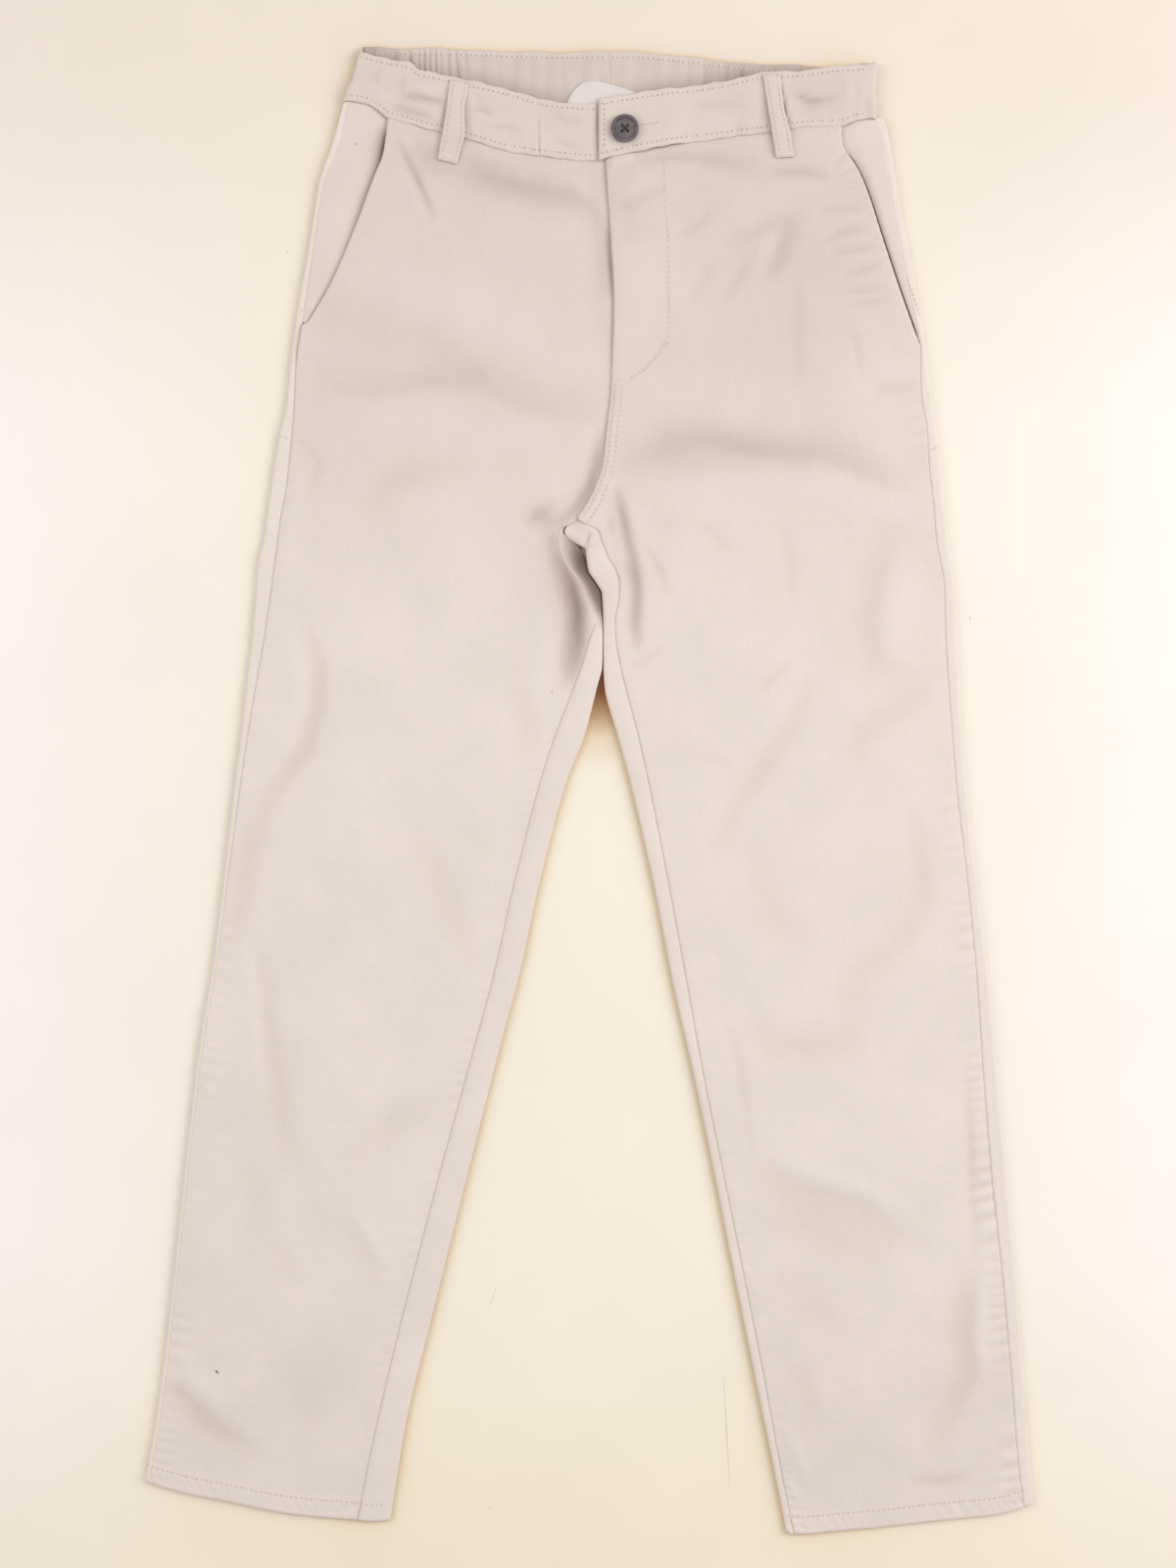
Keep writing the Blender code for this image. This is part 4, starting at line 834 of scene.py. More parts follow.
def back_grid(side):
    """A back panel, from the side seam on top round both folds to the inseam on top."""
    level = panel_levels(1.3)
    lines = LINES[side]
    half_gap = side * SEAM_GAP / 2
    outer_x = settle(side, level, lambda y: lines["side"](y) + half_gap)
    y_side = panel_y(side, level, outer_x)
    ground = BACK_WALL / 2 + mix(FLOOR_GAP, BACK_LIFT, ease(372, 396, level))
    strip = LAYER["strip"](y_side) - 0.1
    roll_x, roll_z = roll(lines["edge"](y_side), side, ground, strip)
    fold = settle(side, level, lines["fold"], 0.0)
    inseam = settle(side, level, lambda y: lines["inner"](y) - half_gap, 0.0)
    if side == RIGHT:
        inseam = inseam - UNDER_RIM * span(100, 112, 150, 158, level)
    # the inner part: round the inner fold, then over the top to the inseam
    high = mix(LAYER["inner"](level), CREVICE_Z, ease(*PRESSED[side], level))
    seam_z = mix(LAYER["lap"](level) - 0.1, CREVICE_Z + 0.1, ease(*SEAM_PRESSED[side], level))
    up_x, up_z = (part[:, ::-1] for part in roll(fold, -side, ground, high))
    top_x = up_x[:, -1:]
    inseam = side * np.maximum(side * inseam, side * top_x + 0.4)
    t = np.linspace(0, 1, BACK_INNER_COLUMNS + 1)[1:]
    crown = 0.5 * np.sin(np.pi * t) * np.clip(np.abs(inseam - top_x) / 12, 0, 1)
    inner_z = (mix(high, seam_z, ease(0.0, 1.0, t)) + crown * fade(*PRESSED[side], level)
               - 0.5 * ease(0.86, 1.0, t))
    # above the crotch there is no inner fold, and its columns bunch up at the centre seam
    below = level <= CROTCH_Y
    turned = up_x.shape[1] + BACK_INNER_COLUMNS
    bunch = fold + half_gap + side * 0.22 * np.arange(turned - 1, -1, -1)
    inner_x = np.where(below, np.concatenate([up_x, mix(top_x, inseam, t)], axis=1), bunch)
    inner_z = np.where(below, np.concatenate([up_z, inner_z], axis=1), ground)
    s = np.linspace(0, 1, BACK_STRIP_COLUMNS + 1)[:-1]
    strip_x = mix(outer_x, roll_x[:, :1], s)
    strip_z = strip - 0.5 * side_seam_shown(side, y_side) * roll_off(np.abs(strip_x - outer_x), 1.0, 1.0)
    u = np.linspace(0, 1, BACK_FLOOR_COLUMNS + 2)[1:-1]
    x = np.concatenate([strip_x, roll_x, mix(roll_x[:, -1:], inner_x[:, :1], u), inner_x], axis=1)
    z = np.concatenate([strip_z, roll_z, ground + 0 * u, inner_z], axis=1)
    on_floor = np.concatenate([0 * s, ease(0, 1, np.linspace(0, 1, roll_x.shape[1])),
                               np.ones(BACK_FLOOR_COLUMNS + turned)])
    y = panel_y(side, level, x, on_floor)
    # creases: the strips follow the front's, the floor has its own
    top_share = np.clip((z - 1.6) / 1.6, 0, 1)
    field = crease_height(x, y, FRONT_CREASES) * top_share * 0.45
    side_away, inner_away = np.abs(x - outer_x), np.abs(x - inseam)
    ripple = puckers(y, side_away, 12.5, 0.22, 7.0, 2.0 + side) * fade(200, 240, y)
    ripple = ripple + puckers(y, inner_away, 11.0, 0.2, 7.0, 4.0 + side) * fade(90, 130, y)
    z = z + field + ripple * top_share
    floor_share = 1 - np.clip((z - BACK_WALL / 2 - BACK_LIFT - 0.2) / 0.6, 0, 1)
    inside = ease(6, 26, np.abs(x - roll_x[:, -1:])) * ease(4, 22, np.abs(x - fold))
    underneath = 0.7 * crease_height(x, y, BACK_CREASES) * floor_share * inside
    z = np.maximum(z + underneath * span(-440, -400, 330, 372, y), LOWEST_BACK)
    step = np.linalg.norm(np.diff(np.stack([x, y, z], axis=2), axis=1), axis=2)
    if side == RIGHT:
        # painted shade: the flap beside the crotch darkens as it runs in from the rim, where the rim
        # overhangs it
        deepest = span(94, 112, 164, 170, y) * (0.72 + 0.2 * bell(y - 142, 5))
        reach = mix(2.6, 6.5, ease(134, 143, y))
        shade = deepest * (1 - np.exp(-np.maximum(x - lines["inner"](y), 0) / reach))
    else:
        shade = crease_height(x, y, FLAP_SHADES) * top_share
    # thin painted shadows along the side seam and the inseam
    shade = shade + (0.14 * bell(side_away, 0.5) * side_seam_shown(side, y)
                     + 0.2 * bell(inner_away, 0.5) * top_share)
    return laid(x, y, z, np.concatenate([0 * level, np.cumsum(step, axis=1)], axis=1), y,
                # the strip beyond the side seam, round the outer fold, gets a painted highlight through
                # its crease mark
                crease=field + 0.8 * (side * (x - outer_x) > 0),
                edge=np.minimum(side_away, np.where(top_share > 0.2, inner_away, 99)), shade=shade)


def facing_grid(side):
    """The hip piece inside a slant pocket, which dives under the front at the opening."""
    waist, seam = BAND_LINES[side]["seam"], LINES[side]["side"]
    level = np.linspace(POCKET_LINES[side][-1].y + 2, 402, 68)[::-1, None]

    def risen(x):
        return level + (waist(x) + FRONT_TUCK - 402) * ease(300, 395, level)

    outer, opening = seam(level), front_outer(side, level)
    for _ in range(6):
        outer = seam(risen(outer)) - side * SEAM_GAP / 2
        opening = front_outer(side, risen(opening))
    width = np.abs(opening - outer)
    between = np.linspace(np.minimum(EDGE_STEPS[-1], width * 0.45), width, 14, axis=1)[:, 1:, 0]
    away = np.concatenate([np.array(EDGE_STEPS) * np.minimum(1.0, width / 14), between,
                           width + np.linspace(0, FACING_INSIDE, 9)[1:]], axis=1)
    x = outer - side * away
    y = risen(x)
    rise = LAYER["strip"](y)
    hollow = {RIGHT: 0.9, LEFT: 1.3}[side]
    z = rise - roll_off(away, 1.2, 0.5) - hollow * ease(width * 0.55, width + 0.5, away)
    z += 0.4 * crease_height(x, y, FRONT_CREASES) + puckers(y, away, 11.0, 0.16, 9.0, 3.0)
    z = np.where(away > width, np.minimum(z, rise - hollow), z)
    z = z - ease(-1.5, 0.8, y - waist(x))
    return laid(x, y, np.maximum(z, 1.7 + 0.85 * ease(372, 396, level)), x - x[0, 0], y,
                edge=np.abs(x - x[:, :1]), shade=facing_shade(side, side * (x - front_outer(side, y)), y))


def facing_shade(side, outside, y):
    """How dark the hip piece is painted at a distance outside the pocket opening: painted shade in the
    opening's gap, and dark where the front covers it.
    """
    if side == RIGHT:
        shade = (0.3 * bell(outside, 4.5) * span(325, 368, 401, 406, y)
                 + 0.3 * bell(outside, 7.0) * bell(y - 392, 11) + 0.2 * bell(outside, 1.2))
    else:
        shade = span(270, 284, 386, 392, y) * (0.95 * np.exp(-(outside / 1.7) ** 4)
                                               + 0.15 * bell(outside, 4.0))
    return np.where(outside < 0, 0.95, np.clip(shade + 0.08, 0, 1))


# ---------------------------------------------------------------- the waistband and its loops

BAND_ACROSS = (0.0, 0.012, 0.03, 0.06, 0.1, 0.15, 0.22, 0.3, 0.38, 0.46, 0.54, 0.62, 0.7, 0.78,
               0.85, 0.9, 0.94, 0.97, 0.988, 1.0)
LOOP_ACROSS = (0.0, 0.027, 0.07, 0.13, 0.2, 0.28, 0.42, 0.58, 0.72, 0.8, 0.87, 0.93, 0.973, 1.0)
BAND_STITCH = 3.0         # the band's topstitching runs this far inside its edges
LOOP_STITCH = 1.9
FACING_SEAM_X = -31.5     # vertical seam in the right band
CUFF_LINE_X = 58.0        # a faint line where the interlining ends
CENTRE_BACK_X = 11.7


def places_along(start, end, step, seams=()):
    """Even places between two x, with close ones beside the end and beside seams."""
    way = 1 if end > start else -1
    places = list(np.linspace(start, end, max(int(abs(end - start) / step), 2)))
    places += [end - way * away for away in EDGE_STEPS[1:5]]
    for seam in seams:
        places += [seam + away for away in (-1.4, -0.9, -0.45, 0.0, 0.45, 0.9, 1.4)]
    kept = []
    for x in sorted(places, reverse=way < 0):
        if not kept or abs(x - kept[-1]) > 0.2:
            kept.append(x)
    return np.array(kept)


def band_stitch(top_away, seam_away):
    """Distance to the nearer of a band's two lines of topstitching."""
    return np.minimum(np.abs(top_away - BAND_STITCH), np.abs(seam_away - BAND_STITCH))


def front_band_grid(side):
    """Half of the front band, from its tail on the ground round the fold to its inner end."""
    inner_x = {RIGHT: LAP_END, LEFT: LAP_START}[side]
    top_line, seam_line = BAND_LINES[side]["top"], BAND_LINES[side]["seam"]
    radius, middle_z = (FRONT_BAND_Z - BACK_BAND_Z) / 2, (FRONT_BAND_Z + BACK_BAND_Z) / 2
    v = np.array(BAND_ACROSS)[:, None]
    edge = mix(*BAND_ENDS[side], v) - side * (radius + BAND / 2)
    edge = edge + side * (0.6 * np.sin(v * 7.0 + 1.5) + 0.35 * np.sin(v * 19.0)) * ease(0.0, 0.2, v)
    y_fold = mix(top_line(edge), seam_line(edge), v)
    y_foot = np.maximum(BACK_BAND_TOP(edge) - BAND_HEIGHT, seam_line(edge))
    y_tail = mix(BACK_BAND_TOP(edge), y_foot, v)
    tail = np.linspace(BAND_TAIL, 0, 5)[:-1]
    turn = np.radians(np.linspace(-90, 90, 11))
    start = float(edge[-1, 0])
    seams = (FACING_SEAM_X,) if side == RIGHT else ()
    along = (places_along(start, inner_x, 1.9, seams)[1:] - start) / (inner_x - start)
    x = np.concatenate([edge - side * tail, edge + side * radius * np.cos(turn),
                        edge + (inner_x - edge) * along], axis=1)
    rise = np.concatenate([0 * tail, (np.degrees(turn) + 90) / 180, np.ones(len(along))])
    on_top = np.concatenate([0 * tail, 0 * turn, np.ones(len(along))])
    y = np.where(on_top > 0, mix(top_line(x), seam_line(x), v), mix(y_tail, y_fold, rise))
    y = y + on_top * ((0.32 * np.sin(x / 2.3) + 0.3 * np.sin(x / 5.7 + 1)) * fade(0.0, 0.16, v)
                      + (0.25 * np.sin(x / 2.1 + 2) + 0.25 * np.sin(x / 6.3)) * ease(0.86, 1.0, v))
    z = np.concatenate([0 * tail + BACK_BAND_Z, middle_z + radius * np.sin(turn),
                        0 * along + FRONT_BAND_Z]) + 0 * x
    if side == LEFT:
        z = np.where(on_top > 0, mix(LAP_BAND_Z, FRONT_BAND_Z, ease(LAP_FLAT, LAP_FOOT, x)), z)
    top_away, seam_away = v * BAND_HEIGHT, (1 - v) * BAND_HEIGHT
    end_away = np.abs(x - inner_x)
    field = 1.4 * crease_height(x, y, BAND_CREASES)
    soft = puckers(x, top_away - 3, 6.5, 0.22, 6.0, 1.0 + side)
    soft = soft + puckers(x, seam_away - 3, 5.5, 0.28, 6.0, 3.0 + side)
    soft = soft + 0.22 * wander(x * 1.6, y * 1.6, 5 + side) + field
    if side == RIGHT:
        soft = soft - 0.6 * bell(x - FACING_SEAM_X, 0.55) - 0.22 * bell(x - FACING_SEAM_X - 3.6, 0.6)
        soft = soft - 0.55 * ease(LAP_START - 6, LAP_START - 0.5, x)
    else:
        soft = soft + 0.35 * bell(end_away - 3.5, 2.6) - 0.25 * bell(x - CUFF_LINE_X, 0.8)
    z = z + soft * ease(2.0, 10.0, np.abs(x - edge)) * on_top
    for away in (top_away, seam_away):
        z = z - (roll_off(away, 1.1, 0.5) + 0.2 * bell(away - BAND_STITCH, 0.9)) * on_top
    z = z - roll_off(end_away, 1.2, 0.5) * on_top
    # painted shade: BAND_SHADES on top and the tail under the fold; the crease mark paints shade and
    # highlight into the band's folds and puckers
    return laid(x, y, z, x, v * BAND_HEIGHT, crease=1.3 * field + 0.8 * soft,
                edge=np.minimum(np.minimum(top_away, seam_away), end_away),
                stitch=band_stitch(top_away, seam_away),
                shade=crease_height(x, y, BAND_SHADES) * on_top + 0.4 * (rise < 0.1))


def gathers(x, v):
    """The pleats of the elasticated back band: listed valleys, with soft swells between."""
    depth = 0.12 * np.sin(x / 3.1 + 0.8 * np.sin(x / 11.0)) + 0.1 * np.sin(x / 1.7 + v * 2)
    smooth = ease(-84, -66, x)
    for gather in GATHERS:
        away = x - gather.x - gather.lean * v
        depth = depth - gather.depth * (1 - 0.5 * smooth) * bell(away, gather.width * (1 + 0.3 * smooth))
    return depth + 0.3


def back_band_grid():
    """The elasticated back band, between the front band's two tails."""
    inset = (FRONT_BAND_Z - BACK_BAND_Z) / 2 + BAND / 2 + BAND_TAIL + SEAM_GAP
    start, end = BAND_ENDS[RIGHT][1] + inset, BAND_ENDS[LEFT][1] - inset
    v = np.array(BAND_ACROSS)[:, None]
    u = (places_along(start, end, 0.75, (CENTRE_BACK_X,)) - start) / (end - start)
    x = mix(mix(BAND_ENDS[RIGHT][0] + inset, start, v), mix(BAND_ENDS[LEFT][0] - inset, end, v), u)
    pleats = (gathers(x, v) * (0.45 + 0.55 * ease(0.02, 0.16, v)) * ease(0, 8, x - start)
              * ease(0, 8, end - x))
    wave = 0.45 * np.sin(x / 8.3) + 0.4 * np.sin(x / 5.1 + 2.0) + 0.5 * np.sin(x / 19.0 + 1.0)
    y = BACK_BAND_TOP(x) - BAND_HEIGHT * v + 0.8 * wave * fade(0.0, 0.5, v)
    top_away, seam_away = v * BAND_HEIGHT, (1 - v) * BAND_HEIGHT
    z = BACK_BAND_Z + pleats - 0.5 * bell(x - CENTRE_BACK_X, 0.5)
    z = z - 0.25 * bell(top_away - BAND_STITCH, 0.9) - roll_off(top_away, 1.1, 0.4)
    front_top = np.where(x < LAP_START, BAND_LINES[RIGHT]["top"](x), BAND_LINES[LEFT]["top"](x))
    # painted shade: a little over the whole band, more below its top edge, most just above the front
    # band's top edge, in the gathers' valleys, at the right end and over the left part; the pleats' crease
    # mark paints their valleys darker and their swells lighter
    shade = (0.03 + 0.07 * ease(1.5, 5.0, top_away) + 0.24 * ease(12.0, 0.0, y - front_top)
             + 0.22 * np.clip(0.15 - pleats, 0, 1) + 0.1 * fade(-127, -114, x) + 0.12 * ease(58, 90, x))
    return laid(x, y, z, x * 1.25, v * BAND_HEIGHT, crease=pleats * 1.7,
                edge=np.minimum(top_away, seam_away), stitch=band_stitch(top_away, seam_away), shade=shade)


def loop_edges(rows, s):
    """Places along the left and the right edge of a belt loop, from its head to its foot."""
    at = np.linspace(0, 1, len(rows))
    parts = [smooth_line(at, values)(s) for values in zip(*rows)]
    return np.stack(parts[:2], axis=-1), np.stack(parts[2:], axis=-1)


def loop_grid(rows, rise, wall):
    """A belt loop between its two edges. rise gives its height from its head to its foot."""
    s = np.linspace(0, 1, 40)[:, None]
    t = np.array(LOOP_ACROSS)
    left, right = loop_edges(rows, s[:, 0])
    x, y = (mix(left[:, c:c + 1], right[:, c:c + 1], t) for c in (0, 1))
    width = np.linalg.norm(right - left, axis=1)[:, None]
    edge_away = width * np.minimum(t, 1 - t)
    z = smooth_line(*zip(*rise))(s) - roll_off(edge_away, 1.2, 0.4)
    z = z - 0.2 * bell(edge_away - LOOP_STITCH, 0.6)
    z = z + 0.14 * np.sin(s * 17.0 + t * 4.0) + 0.08 * np.sin(s * 31.0 - t * 3.0)
    z = np.maximum(z, wall / MM / 2 + FLOOR_GAP)
    return laid(x, y, z, width * t, s * float(np.linalg.norm(left[-1] - left[0])), edge=edge_away,
                stitch=np.abs(edge_away - LOOP_STITCH))


# ---------------------------------------------------------------- stitching

FLY_STITCH = ((44.7, 384.5), (45.2, 364), (47.2, 339), (47.7, 313), (47.9, 280), (46.4, 274),
              (42.9, 268), (35.4, 259), (27.7, 252.6), (20, 250.6), (14.6, 250.2))

Tack = namedtuple("Tack", "x0 y0 x1 y1 width")
TACKS = {RIGHT: table(
    Tack,
    (-122.6, 407.4, -115.6, 404.6, 1.8), (-174.0, 284.6, -168.4, 289.6, 1.6),
    (-191.0, 217.6, -184.4, 214.6, 1.8),
), LEFT: table(
    Tack,
    (145.0, 401.8, 152.2, 401.6, 1.8), (194.4, 279.6, 200.0, 274.4, 1.6),
    (207.4, 208.0, 214.0, 209.8, 1.8), (14.6, 250.4, 25.0, 251.0, 1.6),
    (43.2, 268.8, 47.8, 276.4, 1.5), (-18.2, 157.0, -12.6, 153.8, 1.5),
)}

# One stitch: how far along its half run each ring of its thread is, and how thick it is there.
STITCH_RINGS = ((-1.0, 0.0), (-0.86, 0.7), (-0.4, 1.0), (0.4, 1.0), (0.86, 0.7), (1.0, 0.0))
STITCH_SIDES = 6
STITCH_LIFT = 0.12        # how far a stitch is raised, in widths of its thread
TACK_LIFT = 0.00012       # how far a stitch of a tack is raised, in metres
RAY_START = 0.05          # the search for the cloth starts this many metres above or below
STEPPED = 0.0012          # no stitch joins two places whose heights differ by more metres


def offset_path(points, distance):
    """The same path moved to its left by a distance."""
    points = np.asarray(points, float)
    run = np.gradient(points, axis=0)
    run /= np.linalg.norm(run, axis=1, keepdims=True)
    return points + distance * np.column_stack([-run[:, 1], run[:, 0]])


def lengths_along(points):
    """How far along a path each of its points is."""
    return np.concatenate([[0], np.cumsum(np.linalg.norm(np.diff(points, axis=0), axis=1))])


def smooth_path(points, step=1.0):
    """Places every step along a smooth curve through the points."""
    points = np.asarray(points, float)
    gone = lengths_along(points)
    at = np.linspace(0, gone[-1], max(int(gone[-1] / step), 2))
    return np.column_stack([smooth_line(gone, points[:, c])(at) for c in (0, 1)])


def front_stitch_lines(side):
    """Topstitched lines on a front panel: the pocket's, and the left's fly and crotch seam."""
    y = np.linspace(404.0, POCKET_LINES[side][-1].y + 1, 40)
    pocket = np.column_stack([POCKET[side](y), y])
    lines = [offset_path(pocket, side * away) for away in (2.0, 7.2)]
    if side == LEFT:
        y = np.linspace(247.0, 167.0, 40)
        crotch = np.column_stack([LINES[LEFT]["inner"](y), y])
        lines += [smooth_path(FLY_STITCH), *(offset_path(crotch, away) for away in (2.6, 6.8))]
    return lines


def stitch_distance(side, x, y):
    """Distance of each place to the nearest topstitched line of its panel."""
    near = np.minimum(np.abs(y - HEM[side](x) - HEM_STITCH), MARKS["stitch"])
    for line in front_stitch_lines(side):
        near = np.minimum(near, np.abs(path_place(x, y, line[::3])[0]))
    return near


def surface_of(*names):
    """A search tree over the faces of some pieces, in metres."""
    vertices, faces = [], []
    for name in names:
        mesh = bpy.data.objects[name].data
        first = len(vertices)
        vertices += [v.co.copy() for v in mesh.vertices]
        faces += [[first + i for i in p.vertices] for p in mesh.polygons]
    return BVHTree.FromPolygons(vertices, faces)


def joined_rings(rings, around, first=0):
    """The faces that join each ring of points to the next."""
    starts = [(first + r * around, k, (k + 1) % around) for r in range(rings - 1) for k in range(around)]
    return [(ring + a, ring + b, ring + b + around, ring + a + around) for ring, a, b in starts]


def thread_mesh(name, stitches, radius):
    """One mesh of stitches, each given as its centre, half run and normal, in metres."""
    turns = [2 * math.pi * k / STITCH_SIDES for k in range(STITCH_SIDES)]
    shape = np.array([(run, swell * math.cos(turn), swell * math.sin(turn))
                      for run, swell in STITCH_RINGS for turn in turns])
    run, out, rise = shape.T[:, :, None]
    centre, half, normal = (np.array(part)[:, None] for part in zip(*stitches))
    along = half / np.linalg.norm(half, axis=2, keepdims=True)
    across = np.cross(normal, along)
    across /= np.linalg.norm(across, axis=2, keepdims=True)
    dip = 1.6 * radius * run ** 4                 # the ends go down into the cloth
    points = (centre + half * run + across * radius * out
              + np.cross(along, across) * (radius * rise - dip))
    faces = (np.array(joined_rings(len(STITCH_RINGS), STITCH_SIDES))
             + len(shape) * np.arange(len(stitches))[:, None, None])
    return closed_mesh(name, points.reshape(-1, 3), faces.reshape(-1, 4), merge=1e-6)


def prick_shadow_mesh(name, stitches, radius):
    """The painted shadows of the needle pricks between the stitches, as one mesh of small flat rounds."""
    points = []
    for centre, half, normal in stitches:
        along = half / np.linalg.norm(half)
        across = np.cross(normal, along)
        middle = centre - half - along * radius * 0.8 + normal * 0.00002
        points += [middle + radius * (along * math.cos(turn) + across * 0.8 * math.sin(turn))
                   for turn in (k * math.pi / 3 for k in range(6))]
    mesh = bpy.data.meshes.new(name)
    mesh.from_pydata(points, [], np.arange(len(points)).reshape(-1, 6))
    return mesh


def laid_stitch(surface, ends, lift, way=-1.0):
    """One stitch between two places on the cloth, or none where there's no cloth or it steps."""
    hits = [surface.ray_cast(Vector((x * MM, y * MM, -way * RAY_START)), Vector((0, 0, way)))[:2]
            for x, y in ends]
    if any(hit is None for hit, _ in hits) or abs(hits[0][0].z - hits[1][0].z) >= STEPPED:
        return []
    (a, normal_a), (b, normal_b) = ((np.array(hit), np.array(normal)) for hit, normal in hits)
    normal = (normal_a + normal_b) / np.linalg.norm(normal_a + normal_b)
    return [((a + b) / 2 + normal * lift, (b - a) / 2, normal)]


def stitches_along(surface, path, from_above=True):
    """Stitches along a path, laid on the surface that is met from above or below."""
    thread = settings().thread
    half, pitch = thread.length / MM / 2, (thread.length + thread.gap) / MM
    path = np.asarray(path, float)
    gone = lengths_along(path)
    made = []
    for k in range(int(gone[-1] / pitch)):
        middle = (k + 0.5) * pitch
        ends = [[np.interp(at, gone, path[:, c]) for c in (0, 1)] for at in (middle - half, middle + half)]
        made += laid_stitch(surface, ends, thread.width * STITCH_LIFT, -1.0 if from_above else 1.0)
    return made


def bar_tack(surface, start, end, width, step=0.5):
    """A dense row of short stitches across the line from start to end."""
    start, end = np.array(start, float), np.array(end, float)
    length = float(np.linalg.norm(end - start))
    run = (end - start) / length
    across = np.array((-run[1], run[0])) * width / 2
    made = []
    for k in range(int(length / step) + 1):
        place = start + run * k * step
        reach = across + run * 0.18 * (1 if k % 2 else -1)
        made += laid_stitch(surface, (place - reach, place + reach), TACK_LIFT)
    return made


# ---------------------------------------------------------------- materials

class Nodes:
    """Short ways to add nodes to one tree. Values and links go in by a socket's name or place."""

    def __init__(self, tree):
        self.tree = tree

    def put(self, sockets, values):
        for name, value in values.items():
            if isinstance(value, bpy.types.NodeSocket):
                self.tree.links.new(value, sockets[name])
            elif value is not None:
                sockets[name].default_value = value

    def add(self, kind, values=None, **options):
        node = self.tree.nodes.new(kind)
        for name, value in options.items():
            setattr(node, name, value)
        self.put(node.inputs, values or {})
        return node

    def math(self, operation, a, b=None, c=None, clamp=False):
        return self.add("ShaderNodeMath", {0: a, 1: b, 2: c}, operation=operation,
                        use_clamp=clamp).outputs[0]

    def vector(self, operation, a, b):
        other = "Scale" if operation == "SCALE" else 1
        result = "Value" if operation == "DISTANCE" else "Vector"
        return self.add("ShaderNodeVectorMath", {0: a, other: b}, operation=operation).outputs[result]

    def range(self, value, low, high, to_low=0.0, to_high=1.0, kind="LINEAR"):
        return self.add("ShaderNodeMapRange", {"Value": value, "From Min": low, "From Max": high,
                                               "To Min": to_low, "To Max": to_high},
                        interpolation_type=kind).outputs["Result"]

    def noise(self, vector, scale, detail=3.0, roughness=0.55):
        return self.add("ShaderNodeTexNoise", {"Vector": vector, "Scale": scale, "Detail": detail,
                                               "Roughness": roughness}).outputs["Fac"]

    def blend(self, factor, a, b, kind="MIX"):
        return self.add("ShaderNodeMix", {0: factor, 6: a, 7: b}, data_type="RGBA", blend_type=kind,
                        clamp_factor=True).outputs[2]

    def darken(self, color, value):
        """The colour times a value, the same for red, green and blue."""
        grey = self.add("ShaderNodeCombineColor", {"Red": value, "Green": value, "Blue": value})
        return self.blend(1.0, color, grey.outputs[0], "MULTIPLY")

    def parts(self, vector):
        return self.add("ShaderNodeSeparateXYZ", {"Vector": vector}).outputs

    def where(self):
        return self.add("ShaderNodeTexCoord").outputs["Object"]

    def on_cloth(self):
        return self.add("ShaderNodeUVMap", uv_map="cloth").outputs["UV"]

    def bump(self, strength, distance, height):
        return self.add("ShaderNodeBump", {"Strength": strength, "Distance": distance,
                                           "Height": height}).outputs[0]

    def group(self, name, **values):
        return self.add("ShaderNodeGroup", values, node_tree=bpy.data.node_groups[name]).outputs


FLOAT, COLOR, VECTOR = "NodeSocketFloat", "NodeSocketColor", "NodeSocketVector"


def new_group(name, inputs, outputs):
    """An empty node group with named sockets: its nodes, what it is given and what it makes."""
    tree = bpy.data.node_groups.new(name, "ShaderNodeTree")
    for label, kind, default in inputs:
        socket = tree.interface.new_socket(name=label, in_out="INPUT", socket_type=kind)
        if default is not None:
            socket.default_value = default
    for label, kind in outputs:
        tree.interface.new_socket(name=label, in_out="OUTPUT", socket_type=kind)
    nodes = Nodes(tree)
    return nodes, nodes.add("NodeGroupInput").outputs, nodes.add("NodeGroupOutput").inputs


def make_weave_group():
    """Twill: fine slanting ribs crossed by yarns, with thicker yarns here and there."""
    nodes, given, made = new_group(
        "twill_weave",
        (("Vector", VECTOR, None), ("Pitch", FLOAT, 0.0006)),
        (("Height", FLOAT), ("Streak", FLOAT)))
    u, v, _ = nodes.parts(nodes.vector("SCALE", given["Vector"],
                                       nodes.math("DIVIDE", 1.0, given["Pitch"])))
    turn = 2 * math.pi
    rib = nodes.math("SINE", nodes.math("MULTIPLY", nodes.math("ADD", u, v), turn / 2.4))
    warp = nodes.math("SINE", nodes.math("MULTIPLY", u, turn))
    height = nodes.math("MULTIPLY_ADD", rib, 0.35, nodes.math("MULTIPLY_ADD", warp, 0.15, 0.5))
    long_yarn, cross_yarn = (nodes.noise(nodes.vector("MULTIPLY", given["Vector"], size), 1.0, 2.0)
                             for size in ((900.0, 38.0, 1.0), (34.0, 760.0, 1.0)))
    streak = nodes.math("MULTIPLY_ADD", cross_yarn, 0.45, nodes.math("MULTIPLY", long_yarn, 0.55))
    nodes.put(made, {"Height": nodes.math("MULTIPLY_ADD", streak, 0.6, height), "Streak": streak})


def make_mottle_group():
    """Soft uneven fading: the base colour a little lighter and darker in clouds."""
    nodes, given, made = new_group(
        "soft_fading",
        (("Vector", VECTOR, None), ("Base", COLOR, (0.7, 0.6, 0.5, 1.0)), ("Amount", FLOAT, 0.1),
         ("Size", FLOAT, 0.06)),
        (("Color", COLOR),))
    spots = nodes.vector("SCALE", given["Vector"], nodes.math("DIVIDE", 1.0, given["Size"]))
    cloud = nodes.noise(spots, 1.0, 4.0, 0.6)
    pale = nodes.blend(1.0, given["Base"], (1.12, 1.11, 1.12, 1.0), "MULTIPLY")
    deep = nodes.blend(1.0, given["Base"], (0.88, 0.875, 0.86, 1.0), "MULTIPLY")
    shift = nodes.math("MULTIPLY_ADD", nodes.math("SUBTRACT", cloud, 0.5),
                       nodes.math("MULTIPLY", given["Amount"], 8.0), 0.5, clamp=True)
    nodes.put(made, {"Color": nodes.blend(shift, deep, pale)})


